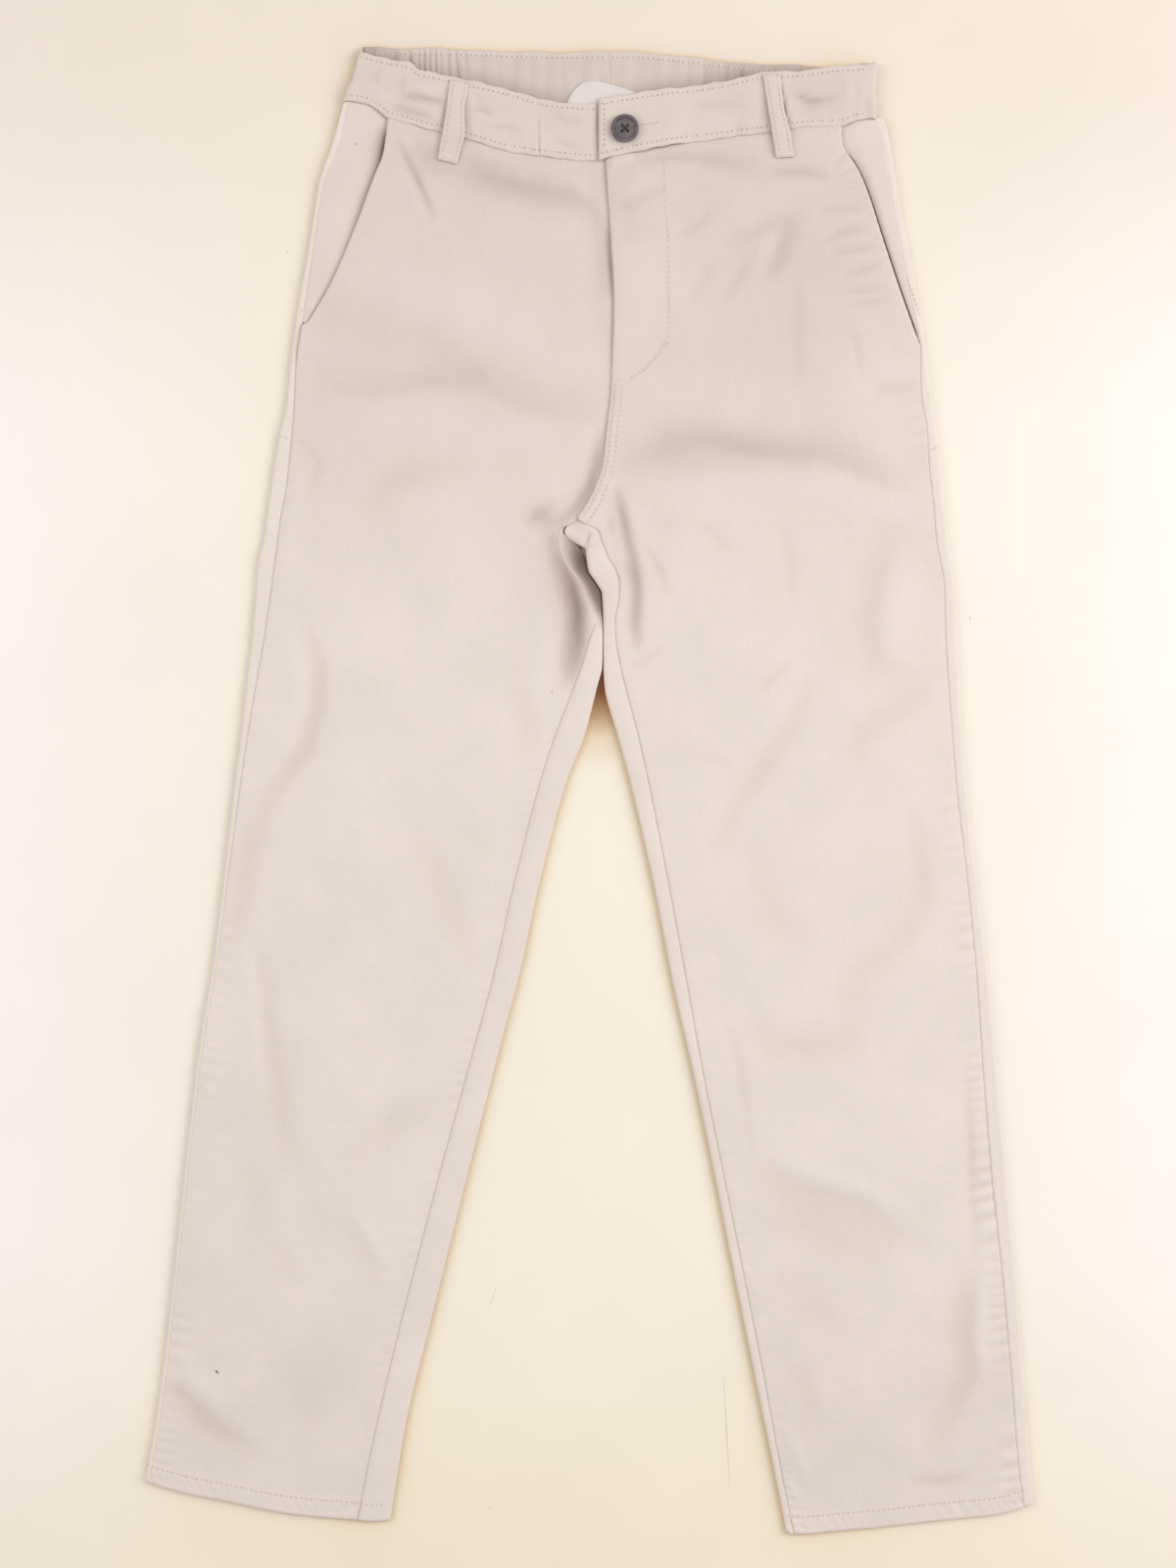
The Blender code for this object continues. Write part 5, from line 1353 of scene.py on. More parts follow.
def make_edge_group():
    """Wear and a painted highlight on a turned edge: a mask that is high close to the edge and broken up
    along it.
    """
    nodes, given, made = new_group(
        "edge_wear_and_highlight",
        (("Vector", VECTOR, None), ("Distance", FLOAT, 10.0), ("Reach", FLOAT, 1.2)),
        (("Mask", FLOAT),))
    near = nodes.range(given["Distance"], 0.0, given["Reach"], 1.0, 0.0, "SMOOTHSTEP")
    grain = nodes.range(nodes.noise(given["Vector"], 420.0), 0.35, 0.7, 0.35, 1.0)
    nodes.put(made, {"Mask": nodes.math("MULTIPLY", near, grain)})


def make_speck_group():
    """One speck of lint or dirt: a small uneven spot round a place."""
    nodes, given, made = new_group(
        "speck",
        (("Vector", VECTOR, None), ("Place", VECTOR, None), ("Radius", FLOAT, 0.001)),
        (("Mask", FLOAT),))
    away = nodes.vector("DISTANCE", given["Vector"], given["Place"])
    rough = nodes.noise(given["Vector"], 900.0, 2.0)
    size = nodes.math("MULTIPLY", given["Radius"], nodes.math("ADD", rough, 0.5))
    nodes.put(made, {"Mask": nodes.math("LESS_THAN", away, size)})


def new_material(name):
    """An empty material: its nodes and the inputs of its shader."""
    made = bpy.data.materials.new(name)
    made.use_nodes = True
    made.node_tree.nodes.clear()
    nodes = Nodes(made.node_tree)
    shader = nodes.add("ShaderNodeBsdfPrincipled")
    nodes.add("ShaderNodeOutputMaterial", {"Surface": shader.outputs[0]})
    return nodes, shader.inputs


def tint(color, red, green, blue):
    """A colour with its parts multiplied, for a socket."""
    return (color[0] * red, color[1] * green, color[2] * blue, 1.0)


Speck = namedtuple("Speck", "x y radius dark")
SPECKS = table(
    Speck,
    (-228.8, -356.2, 0.9, 0.75), (-228.0, -357.2, 0.5, 0.7), (-23.6, 59.2, 0.7, 0.35),
    (-143.6, 395.2, 0.8, 0.25), (41.0, 136.0, 0.4, 0.3),
)


def add_specks(nodes, base, where):
    """The base colour with the specks on it, on the side that faces up."""
    on_top = nodes.range(nodes.parts(where)["Z"], 0.0012, 0.0018)
    flat = nodes.vector("MULTIPLY", where, (1, 1, 0))
    for speck in SPECKS:
        mask = nodes.group("speck", Vector=flat, Place=(speck.x * MM, speck.y * MM, 0.0),
                           Radius=speck.radius * MM)["Mask"]
        dark = nodes.math("MULTIPLY", nodes.math("MULTIPLY", mask, on_top), speck.dark)
        base = nodes.blend(dark, base, (0.10, 0.085, 0.075, 1.0))
    return base


def make_twill(name, color, fading, specked=False):
    """Cotton twill: weave, fading, painted shade and highlight from folds and the shade mark, edges
    lighter from wear and a painted highlight, stitch lines with painted shade in their groove, and specks.
    """
    nodes, shader = new_material(name)
    where = nodes.where()
    crease, edge, stitch, shade = (
        nodes.add("ShaderNodeAttribute", attribute_name=mark).outputs["Fac"] for mark in MARKS)
    weave = nodes.group("twill_weave", Vector=nodes.on_cloth(), Pitch=settings().cloth.weave_pitch)
    wear_and_highlight_mask = nodes.group("edge_wear_and_highlight", Vector=where, Distance=edge, Reach=1.4)["Mask"]
    pressed = nodes.range(stitch, 0.0, 0.9, 1.0, 0.0, "SMOOTHSTEP")
    base = nodes.group("soft_fading", Vector=where, Base=(*color, 1.0), Amount=fading, Size=0.055)["Color"]
    base = nodes.darken(base, nodes.range(weave["Streak"], 0.3, 0.7, 0.985, 1.015))
    # painted highlight on ridges, painted shade in hollows, painted shade from the shade mark and near
    # black where deepest, edges lighter from wear and a painted highlight, and painted shade along the
    # stitch lines' groove
    for share, other in (
            (nodes.range(crease, 0.0, 1.6), tint(color, 1.04, 1.04, 1.05)),
            (nodes.range(crease, 0.0, -1.8), tint(color, 0.875, 0.85, 0.83)),
            (shade, tint(color, 0.2, 0.09, 0.03)),
            (nodes.range(shade, 0.45, 1.0, 0.0, 0.9), (0.03, 0.02, 0.015, 1.0)),
            (nodes.math("MULTIPLY", wear_and_highlight_mask, 0.16), tint(color, 1.1, 1.1, 1.1)),
            (nodes.math("MULTIPLY", pressed, 0.05), tint(color, 0.8, 0.76, 0.72))):
        base = nodes.blend(share, base, other)
    if specked:
        base = add_specks(nodes, base, where)
    lift = nodes.math("MULTIPLY_ADD", nodes.noise(where, 95.0), 0.55,
                      nodes.math("MULTIPLY", nodes.noise(where, 420.0, 2.0, 0.5), 0.14))
    lift = nodes.math("MULTIPLY_ADD", weave["Height"], 0.05, lift)
    lift = nodes.math("MULTIPLY_ADD", pressed, -0.25, lift)
    nodes.put(shader, {"Base Color": base, "Specular IOR Level": 0.25, "Sheen Weight": 0.12,
                       "Sheen Roughness": 0.5, "Normal": nodes.bump(0.95, 0.0011, lift),
                       "Roughness": nodes.range(weave["Streak"], 0.3, 0.7, 0.82, 0.95)})


def make_thread(name, color):
    """Cotton sewing thread, twisted."""
    nodes, shader = new_material(name)
    where = nodes.where()
    base = nodes.group("soft_fading", Vector=where, Base=(*color, 1.0), Amount=0.14, Size=0.004)
    nodes.put(shader, {"Base Color": base["Color"], "Roughness": 0.7, "Sheen Weight": 0.2,
                       "Normal": nodes.bump(0.6, 0.0001, nodes.noise(where, 2600.0, 2.0))})


def make_horn():
    """Dark horn-like plastic: a cloudy grey-brown with a satin gloss and fine scratches."""
    nodes, shader = new_material("dark_horn")
    where, color = nodes.where(), settings().button.color
    cloud = nodes.noise(nodes.vector("MULTIPLY", where, (120.0, 420.0, 120.0)), 1.0, 5.0, 0.6)
    scratch = nodes.noise(nodes.vector("MULTIPLY", where, (3000.0, 260.0, 900.0)), 1.0, 2.0)
    base = nodes.blend(nodes.range(cloud, 0.35, 0.65), tint(color, 0.72, 0.7, 0.7),
                       tint(color, 1.45, 1.4, 1.38))
    nodes.put(shader, {"Base Color": base, "Roughness": nodes.range(scratch, 0.3, 0.7, 0.34, 0.55),
                       "Normal": nodes.bump(0.15, 0.0001, scratch)})


def make_label_satin():
    """Blank woven satin with a fine rib."""
    nodes, shader = new_material("label_satin")
    place, color = nodes.on_cloth(), settings().cloth.label_color
    weave = nodes.group("twill_weave", Vector=place, Pitch=0.0004)
    base = nodes.group("soft_fading", Vector=place, Base=(*color, 1.0), Amount=0.04, Size=0.02)
    nodes.put(shader, {"Base Color": base["Color"], "Normal": nodes.bump(0.4, 0.0001, weave["Height"]),
                       "Roughness": nodes.range(weave["Streak"], 0.3, 0.7, 0.5, 0.65)})


def make_zip_metal():
    """Brushed pale metal of the hidden zip's teeth and slider."""
    nodes, shader = new_material("zip_metal")
    grain = nodes.noise(nodes.vector("MULTIPLY", nodes.where(), (300.0, 4000.0, 300.0)), 1.0, 2.0)
    nodes.put(shader, {"Base Color": nodes.blend(grain, (0.42, 0.4, 0.37, 1.0), (0.62, 0.6, 0.56, 1.0)),
                       "Roughness": nodes.range(grain, 0.3, 0.7, 0.3, 0.5), "Metallic": 1.0})


FloorMark = namedtuple("FloorMark", "x0 y0 x1 y1 width dark")
FLOOR_MARKS = table(
    FloorMark,
    (81.6, -357.0, 85.6, -431.0, 0.35, 0.35), (-57.2, -304.0, -62.2, -319.0, 0.3, 0.25),
    (232.6, 106.4, 233.4, 104.2, 0.5, 0.4), (-186.4, 330.6, -185.8, 330.0, 0.6, 0.4),
    (-62.0, -441.0, -61.4, -441.6, 0.5, 0.4),
)


def make_paper_floor():
    """The cream surface, with painted light and shade: paler at its sides, darker towards the hems and
    beyond the waist, a warm painted shadow near the cloth, and a few fine scratches.
    """
    nodes, shader = new_material("cream_floor")
    where, stage = nodes.where(), settings().stage
    x, y, _ = nodes.parts(where)
    # painted light and shade: paler towards the sides, darker and warmer towards the hems and beyond the
    # waist
    at_side = nodes.range(nodes.math("ABSOLUTE", x), 0.16, 0.42, kind="SMOOTHSTEP")
    base = nodes.blend(at_side, (*stage.floor_color, 1.0), (*stage.floor_side_color, 1.0))
    down = nodes.range(y, -0.25, -0.5, 0.0, 0.5, "SMOOTHSTEP")
    base = nodes.blend(down, base, (*stage.floor_near_color, 1.0))
    up = nodes.range(y, 0.2, 0.46, 0.0, 0.9, "SMOOTHSTEP")
    base = nodes.blend(up, base, (*stage.floor_far_color, 1.0))
    # painted shadow beside the cloth, from how much it covers the floor: a wide warm one, weaker beyond
    # the legs' outer edges, and a darker one close to the cloth inside them
    covered = nodes.add("ShaderNodeAmbientOcclusion", {"Distance": 0.055}, samples=24).outputs["AO"]
    between = nodes.math("MULTIPLY", nodes.range(x, -0.175, -0.145), nodes.range(x, 0.15, 0.19, 1.0, 0.0))
    warm = nodes.math("MULTIPLY_ADD", between, 0.5, nodes.range(x, 0.15, 0.19, 0.22, 0.08))
    warm_shadow = nodes.math("MULTIPLY", nodes.range(covered, 0.66, 1.0, 0.85, 0.0), warm)
    base = nodes.blend(warm_shadow, base, (0.76, 0.56, 0.31, 1.0))
    dark = nodes.math("MULTIPLY", nodes.range(covered, 0.1, 0.35, 1.0, 0.0), between)
    base = nodes.blend(dark, base, (0.30, 0.16, 0.07, 1.0))
    # the deep warm shade in the fork, where the legs part
    fork = nodes.vector("MULTIPLY", where, (1.0, 0.42, 0.0))
    away = nodes.vector("DISTANCE", fork, (0.0058, 0.030, 0.0))
    base = nodes.blend(nodes.range(away, 0.006, 0.026, 0.75, 0.0), base, (0.62, 0.36, 0.13, 1.0))
    base = nodes.blend(nodes.range(away, 0.005, 0.017, 1.0, 0.0), base, (0.27, 0.115, 0.045, 1.0))
    for mark in FLOOR_MARKS:
        start, end = (mark.x0 * MM, mark.y0 * MM, 0.0), (mark.x1 * MM, mark.y1 * MM, 0.0)
        both = nodes.math("ADD", *(nodes.vector("DISTANCE", where, place) for place in (start, end)))
        mask = nodes.math("LESS_THAN", both, math.hypot(math.dist(start, end), 2 * mark.width * MM))
        ragged = nodes.math("MULTIPLY", nodes.noise(where, 700.0, 2.0), 2 * mark.dark)
        base = nodes.blend(nodes.math("MULTIPLY", mask, ragged), base, (0.45, 0.27, 0.16, 1.0))
    base = nodes.darken(base, nodes.range(nodes.noise(where, 9.0), 0.3, 0.7, 0.985, 1.015))
    nodes.put(shader, {"Base Color": base, "Roughness": 0.8, "Specular IOR Level": 0.2})


# ---------------------------------------------------------------- settings

BUTTON_LOW, BUTTON_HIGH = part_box("button")
BUTTON_SETTLE = 0.0014    # how far the button has slipped towards the hems


class ChinoCloth(bpy.types.PropertyGroup):
    wall: FloatProperty(name="Cloth thickness", description="Thickness of the twill panels",
                        default=0.0009, min=0.0004, max=0.0014, unit="LENGTH")
    band_wall: FloatProperty(name="Band thickness", description="Thickness of the waistband",
                             default=0.0015, min=0.0008, max=0.0018, unit="LENGTH")
    tape_wall: FloatProperty(name="Tape thickness", description="Thickness of tapes and the tab",
                             default=0.0006, min=0.0003, max=0.0008, unit="LENGTH")
    weave_pitch: FloatProperty(name="Yarn pitch", description="Distance between two yarns",
                               default=0.00055, min=0.0003, max=0.002, unit="LENGTH")
    twill_color: FloatVectorProperty(name="Twill colour", description="Colour of the leg panels",
                                     default=(0.741, 0.655, 0.594), subtype="COLOR", min=0, max=1)
    band_color: FloatVectorProperty(name="Band colour", description="Colour of the waistband",
                                    default=(0.665, 0.582, 0.522), subtype="COLOR", min=0, max=1)
    tape_color: FloatVectorProperty(name="Tape colour", description="Colour of the zip's tape",
                                    default=(0.6, 0.52, 0.46), subtype="COLOR", min=0, max=1)
    label_color: FloatVectorProperty(name="Tab colour", description="Colour of the blank tab",
                                     default=(0.675, 0.635, 0.61), subtype="COLOR", min=0, max=1)


class ChinoThread(bpy.types.PropertyGroup):
    width: FloatProperty(name="Thread width", description="Thickness of the topstitching thread",
                         default=0.00045, min=0.0002, max=0.001, unit="LENGTH")
    length: FloatProperty(name="Stitch length", description="Length of one stitch on top",
                          default=0.0019, min=0.001, max=0.005, unit="LENGTH")
    gap: FloatProperty(name="Stitch gap", description="Distance between two stitches",
                       default=0.0012, min=0.0002, max=0.002, unit="LENGTH")
    # each prick is drawn as a painted shadow: a small dark flat round
    prick: FloatProperty(name="Prick", description="Width of the dark prick between two stitches",
                         default=0.0014, min=0.0002, max=0.002, unit="LENGTH")
    color: FloatVectorProperty(name="Thread colour", description="Colour of the thread",
                               default=(0.80, 0.72, 0.655), subtype="COLOR", min=0, max=1)
    dark_color: FloatVectorProperty(name="Button thread", description="Colour of the dark thread",
                                    default=(0.02, 0.017, 0.016), subtype="COLOR", min=0, max=1)


class ChinoButton(bpy.types.PropertyGroup):
    radius: FloatProperty(name="Radius", description="Radius of the waist button",
                          default=(BUTTON_HIGH[0] - BUTTON_LOW[0]) / 2, unit="LENGTH")
    height: FloatProperty(name="Height", description="Thickness of the waist button",
                          default=BUTTON_HIGH[2] - BUTTON_LOW[2], unit="LENGTH")
    rim: FloatProperty(name="Rim", description="Width of the raised rim",
                       default=0.0022, min=0.0008, max=0.004, unit="LENGTH")
    hole_radius: FloatProperty(name="Hole radius", description="Radius of the four sewing holes",
                               default=0.00095, unit="LENGTH")
    hole_pitch: FloatProperty(name="Hole spacing", description="Distance between two holes",
                              default=0.0036, unit="LENGTH")
    color: FloatVectorProperty(name="Colour", description="Colour of the button",
                               default=(0.105, 0.088, 0.088), subtype="COLOR", min=0, max=1)


class ChinoStage(bpy.types.PropertyGroup):
    # The floor's colours carry painted light and shade: paler sides, darker towards the hems and beyond
    # the waist.
    floor_color: FloatVectorProperty(name="Floor", description="Colour of the floor's middle",
                                     default=(0.86, 0.797, 0.68), subtype="COLOR", min=0, max=1)
    floor_side_color: FloatVectorProperty(name="Floor sides", description="Colour towards the sides",
                                          default=(0.905, 0.845, 0.815), subtype="COLOR", min=0, max=1)
    floor_near_color: FloatVectorProperty(name="Floor front", description="Colour near the hems",
                                          default=(0.82, 0.70, 0.51), subtype="COLOR", min=0, max=1)
    floor_far_color: FloatVectorProperty(name="Floor back", description="Colour beyond the waist",
                                         default=(0.79, 0.70, 0.60), subtype="COLOR", min=0, max=1)
    side_power: FloatProperty(name="Side lights", description="Power of each side light in watts",
                              default=29.0, min=0.0)
    top_power: FloatProperty(name="Top light", description="Power of the light overhead in watts",
                             default=10.0, min=0.0)
    sky: FloatProperty(name="Sky", description="Strength of the light from all round",
                       default=0.56, min=0.0)
    lens: FloatProperty(name="Lens", description="Focal length of the camera, in millimetres",
                        default=50.0, min=10.0)


class ChinoSettings(bpy.types.PropertyGroup):
    cloth: PointerProperty(type=ChinoCloth, name="Cloth", description="The twill and the band")
    thread: PointerProperty(type=ChinoThread, name="Thread", description="The topstitching")
    button: PointerProperty(type=ChinoButton, name="Button", description="The waist button")
    stage: PointerProperty(type=ChinoStage, name="Stage", description="Floor, lights and camera")


# ---------------------------------------------------------------- operators

class CHINO_OT_materials(bpy.types.Operator):
    """Make the shared node groups and every material"""
    bl_idname = "chino.materials"
    bl_label = "Materials"

    def execute(self, context):
        make_weave_group()
        make_mottle_group()
        make_edge_group()
        make_speck_group()
        cloth, thread = settings().cloth, settings().thread
        make_twill("chino_twill", tuple(cloth.twill_color), 0.085, specked=True)
        make_twill("band_twill", tuple(cloth.band_color), 0.06)
        make_twill("tape_weave", tuple(cloth.tape_color), 0.05)
        make_thread("sewing_thread", tuple(thread.color))
        make_thread("dark_thread", tuple(thread.dark_color))
        # painted shadows of the needle pricks and the buttonhole's slit, darker on the bands, fainter on
        # the panels and loops
        make_thread("stitch_shadow", tint(cloth.twill_color, 0.64, 0.58, 0.54)[:3])
        make_thread("faint_shadow", tint(cloth.twill_color, 0.8, 0.75, 0.72)[:3])
        make_horn()
        make_label_satin()
        make_zip_metal()
        make_paper_floor()
        return {"FINISHED"}


# What each piece was cut to: width and length in millimetres, and area in square millimetres.
# The back band's cloth is cut longer than it lies and gathered onto its elastic.
Cut = namedtuple("Cut", "width length area")


def add_sheet(name, grid, wall, node, rests_on=(), held="laid", material="chino_twill",
              slot="beige_twill"):
    """A cloth piece: its shell and its finish."""
    piece = finish_piece(name, shell(name, wall, *grid), material, (node,))


class CHINO_OT_backs(bpy.types.Operator):
    """Lay both back panels, each rolled round the outer and the inner fold of its leg"""
    bl_idname = "chino.backs"
    bl_label = "Back panels"

    def execute(self, context):
        for side, name in SIDES.items():
            add_sheet("back_panel_" + name, back_grid(side), BACK_WALL * MM, "back_" + name)
        return {"FINISHED"}


class CHINO_OT_pocket_facings(bpy.types.Operator):
    """Lay the hip pieces that show inside the slant pockets"""
    bl_idname = "chino.pocket_facings"
    bl_label = "Pocket facings"

    def execute(self, context):
        for side, name in SIDES.items():
            add_sheet("hip_piece_" + name, facing_grid(side), settings().cloth.wall,
                      "pocket_facing_" + name, ("back_panel_" + name,))
        return {"FINISHED"}


class CHINO_OT_fronts(bpy.types.Operator):
    """Lay both front panels, with their creases, turned edges and puckered seams"""
    bl_idname = "chino.fronts"
    bl_label = "Front panels"

    def execute(self, context):
        for side, name in SIDES.items():
            add_sheet("front_panel_" + name, front_grid(side), settings().cloth.wall,
                      "front_" + name, ("back_panel_" + name,))
        return {"FINISHED"}


def tape_grid(node, taper):
    """A flat tape along the fly that fills the box of one of the frame's nodes."""
    low, high = node_box(node)
    s, t = np.linspace(0, 1, 40)[:, None], np.linspace(0, 1, 10)
    y = mix(high[1], low[1], s)
    middle = LINES[LEFT]["inner"](y)
    width = (high[0] - low[0]) * (1 - taper * s ** 3) - 5.0
    x = low[0] + 0.4 + middle - middle.min() + width * t
    return laid(x, y, (low[2] + high[2]) / 2, x, y, edge=np.minimum(x - x[:, :1], x[:, -1:] - x))


def zip_metal(name, boxes):
    """A piece of the zip made of boxes with cut corners, each from a low to a high corner."""
    points, faces = [], []
    for low, high in boxes:
        first = len(points)
        cut = 0.25 * min(h - l for l, h in zip(low, high))
        for z, inset in ((low[2], cut), (low[2] + cut, 0), (high[2] - cut, 0), (high[2], cut)):
            x0, y0, x1, y1 = low[0] + inset, low[1] + inset, high[0] - inset, high[1] - inset
            points += [(x0, y0, z), (x1, y0, z), (x1, y1, z), (x0, y1, z)]
        faces += [(first + 3, first + 2, first + 1, first), *joined_rings(4, 4, first),
                  (first + 12, first + 13, first + 14, first + 15)]
    mesh = bpy.data.meshes.new(name)
    mesh.from_pydata(np.array(points) * MM, [], faces)
    finish_piece(name, mesh, "zip_metal")


class CHINO_OT_fly(bpy.types.Operator):
    """Lay the shield, the closed zip's tape, its teeth and its slider behind the fly"""
    bl_idname = "chino.fly"
    bl_label = "Fly"

    def execute(self, context):
        wall = settings().cloth.tape_wall
        add_sheet("shield", tape_grid("fly_shield", 0.3), wall, "fly_shield", ("back_panel_left",))
        tape = tape_grid("fly_zip", 0.2)
        add_sheet("zip_tape", tape, wall * 0.8, "fly_zip", ("shield",), material="tape_weave",
                  slot="zip_tape")
        line = tape[0][:, 4:6].mean(axis=1)
        teeth = []
        for k in range(56):
            x, y, z = (np.interp(k / 55 * (len(line) - 1), range(len(line)), line[:, c]) for c in range(3))
            x += 0.7 if k % 2 else -0.7
            teeth.append(((x - 1.5, y - 0.75, z + 0.32), (x + 1.5, y + 0.75, z + 1.0)))
        zip_metal("zip_teeth", teeth)
        x, y, z = line[2]
        zip_metal("zip_slider", (((x - 3.2, y - 6.0, z + 0.35), (x + 3.2, y + 2.0, z + 1.35)),
                                 ((x - 1.6, y - 21.0, z + 1.2), (x + 1.6, y - 4.0, z + 1.75))))
        return {"FINISHED"}


BAND_LOOK = {"material": "band_twill", "slot": "waistband_twill"}


class CHINO_OT_waistband(bpy.types.Operator):
    """Lay the gathered back band and the two lapped ends of the front band"""
    bl_idname = "chino.waistband"
    bl_label = "Waistband"

    def execute(self, context):
        wall = settings().cloth.band_wall
        add_sheet("band_back", back_band_grid(), wall, "waistband_back", held="gathered", **BAND_LOOK)
        for side, name in SIDES.items():
            add_sheet("band_front_" + name, front_band_grid(side), wall, "waistband_front_" + name,
                      ("front_panel_" + name,), **BAND_LOOK)
        return {"FINISHED"}


class CHINO_OT_belt_loops(bpy.types.Operator):
    """Lay the belt loops, arched over the front band and flat under the back one"""
    bl_idname = "chino.belt_loops"
    bl_label = "Belt loops"

    def execute(self, context):
        wall = settings().cloth.wall
        on_band = FRONT_BAND_Z + BAND / 2 + wall / MM / 2 + 0.25
        on_front = float(LAYER["middle"](400)) + CLOTH / 2 + wall / MM / 2 + 0.5
        arch = ((0.0, on_band), (0.1, on_band + 0.25), (0.3, on_band + 1.25), (0.5, on_band + 1.5),
                (0.62, on_band + 1.0), (0.72, on_band + 0.45), (0.82, on_front + 0.75),
                (0.93, on_front + 0.35), (1.0, on_front + 0.2))
        for name, loop in FRONT_LOOPS.items():
            add_sheet("loop_front_" + name, loop_grid(loop, arch, wall), wall * 1.25,
                      "belt_loop_front_" + name, ("band_front_" + name,), **BAND_LOOK)
        flat = ((0.0, CLOTH / 2), (1.0, CLOTH / 2))
        for name, loop in BACK_LOOPS.items():
            add_sheet("loop_back_" + name, loop_grid(loop, flat, wall), wall,
                      "belt_loop_back_" + name, **BAND_LOOK)
        return {"FINISHED"}


# the tab's upper edge, which leans over to its left
TAB_EDGE = ((-15.2, 416.0), (-14.0, 420.5), (-11.6, 425.5), (-8.0, 430.0), (-3.5, 432.9), (1.5, 433.6),
            (8.0, 432.6), (20.0, 429.2), (30.0, 425.6), (35.5, 423.0))


class CHINO_OT_tab(bpy.types.Operator):
    """Lay the blank half-round tab inside the back band"""
    bl_idname = "chino.tab"
    bl_label = "Blank tab"

    def execute(self, context):
        low, high = node_box("label")
        x = np.linspace(TAB_EDGE[0][0], TAB_EDGE[-1][0], 56)
        top = smooth_line(*zip(*TAB_EDGE))(x)
        y = mix(top, low[1] + 4.0, np.array((0.0, 0.02, 0.05, 0.1, *np.linspace(0.16, 1.0, 14)))[:, None])
        rim = np.minimum(top - y, np.minimum(x - x[0], x[-1] - x))
        z = high[2] - 0.2 + 0.6 * bell(x - 6, 16) - roll_off(rim, 0.8, 0.25)
        z = z - 0.5 * ease(4.0, 0.0, x - x[0]) + 0.12 * np.sin(x / 4.0)
        add_sheet("blank_tab", laid(x, y, z, x, y), settings().cloth.tape_wall, "label",
                  ("band_back",), material="label_satin", slot="label_white")
        return {"FINISHED"}


def tube(name, paths, radius, material):
    """Round threads along paths of points in metres, as one curve object."""
    curve = bpy.data.curves.new(name, "CURVE")
    curve.dimensions = "3D"
    curve.bevel_depth, curve.bevel_resolution, curve.use_fill_caps = radius, 2, True
    for path in paths:
        spline = curve.splines.new("POLY")
        spline.points.add(len(path) - 1)
        for point, co in zip(spline.points, path):
            point.co = (*co, 1.0)
    finish_piece(name, curve, material)


def button_profile(button, floor):
    """Half of the button's cross-section, as radii and heights: its dished face, rim and back."""
    radius, height, rim = button.radius, button.height, button.rim
    middle, swell = radius - rim * 0.36, rim * 0.36
    return [(0.0, floor), (radius * 0.55, floor), (radius - rim - 0.0006, floor + 0.00008),
            *((radius - rim + 0.00015 * k, floor + (height - floor) * math.sin(k * math.pi / 8))
              for k in range(5)),
            *((middle + swell * math.sin(a), height - swell * 0.75 * (1 - math.cos(a)))
              for a in (k * math.pi / 12 for k in range(1, 7))),
            (radius, height * 0.5), (radius - 0.0003, height * 0.28),
            (radius - 0.0012, height * 0.06), (radius - 0.002, 0.0), (0.0, 0.0)]


class CHINO_OT_button(bpy.types.Operator):
    """Turn the four-hole button, and sew it on with a cross of dark thread"""
    bl_idname = "chino.button"
    bl_label = "Button"

    def execute(self, context):
        button = settings().button
        low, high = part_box("button")
        centre = ((low[0] + high[0]) / 2, (low[1] + high[1]) / 2 - BUTTON_SETTLE, low[2])
        floor, pitch = button.height * 0.66, button.hole_pitch / 2
        mesh = bpy.data.meshes.new("waist_button")
        form = bmesh.new()
        made = [form.verts.new((r, 0.0, z)) for r, z in button_profile(button, floor)]
        for a, b in zip(made, made[1:]):
            form.edges.new((a, b))
        bmesh.ops.spin(form, geom=form.verts[:] + form.edges[:], axis=(0, 0, 1), cent=(0, 0, 0),
                       dvec=(0, 0, 0), angle=2 * math.pi, steps=72, use_merge=True)
        bmesh.ops.remove_doubles(form, verts=form.verts, dist=1e-6)
        bmesh.ops.recalc_face_normals(form, faces=form.faces)
        form.to_mesh(mesh)
        form.free()
        piece = finish_piece("waist_button", mesh, "dark_horn", ("button",), centre)
        holes = bpy.data.meshes.new("button_holes")
        form = bmesh.new()
        for x in (-pitch, pitch):
            for y in (-pitch, pitch):
                cone = bmesh.ops.create_cone(form, cap_ends=True, segments=24, depth=button.height * 3,
                                             radius1=button.hole_radius, radius2=button.hole_radius)
                bmesh.ops.translate(form, verts=cone["verts"], vec=(x, y, 0))
        form.to_mesh(holes)
        form.free()
        cutter = bpy.data.objects.new("button_holes", holes)
        cutter.location = centre
        context.scene.collection.objects.link(cutter)
        cut = piece.modifiers.new("holes", "BOOLEAN")
        cut.object, cut.operation = cutter, "DIFFERENCE"
        context.view_layer.update()
        shown = piece.evaluated_get(context.evaluated_depsgraph_get())
        cut_mesh = bpy.data.meshes.new_from_object(shown)
        piece.modifiers.clear()
        piece.data = cut_mesh
        bpy.data.objects.remove(cutter)
        cut_mesh.shade_smooth()
        cut_mesh.set_sharp_from_angle(angle=math.radians(38))
        paths = []
        for way in (1, -1):
            for strand in (-0.00034, 0.0, 0.00034):
                t = np.linspace(-1, 1, 13)
                arch = (0.00022 + 0.00012 * way) * (1 - t * t)
                paths.append(np.column_stack([
                    pitch * t - strand * 0.7 * way, pitch * t * way + strand * 0.7,
                    floor + 0.00025 + arch - 0.016 * np.maximum(np.abs(t) - 0.9, 0)]) + centre)
        tube("button_thread", paths, 0.0002, "dark_thread")
        return {"FINISHED"}


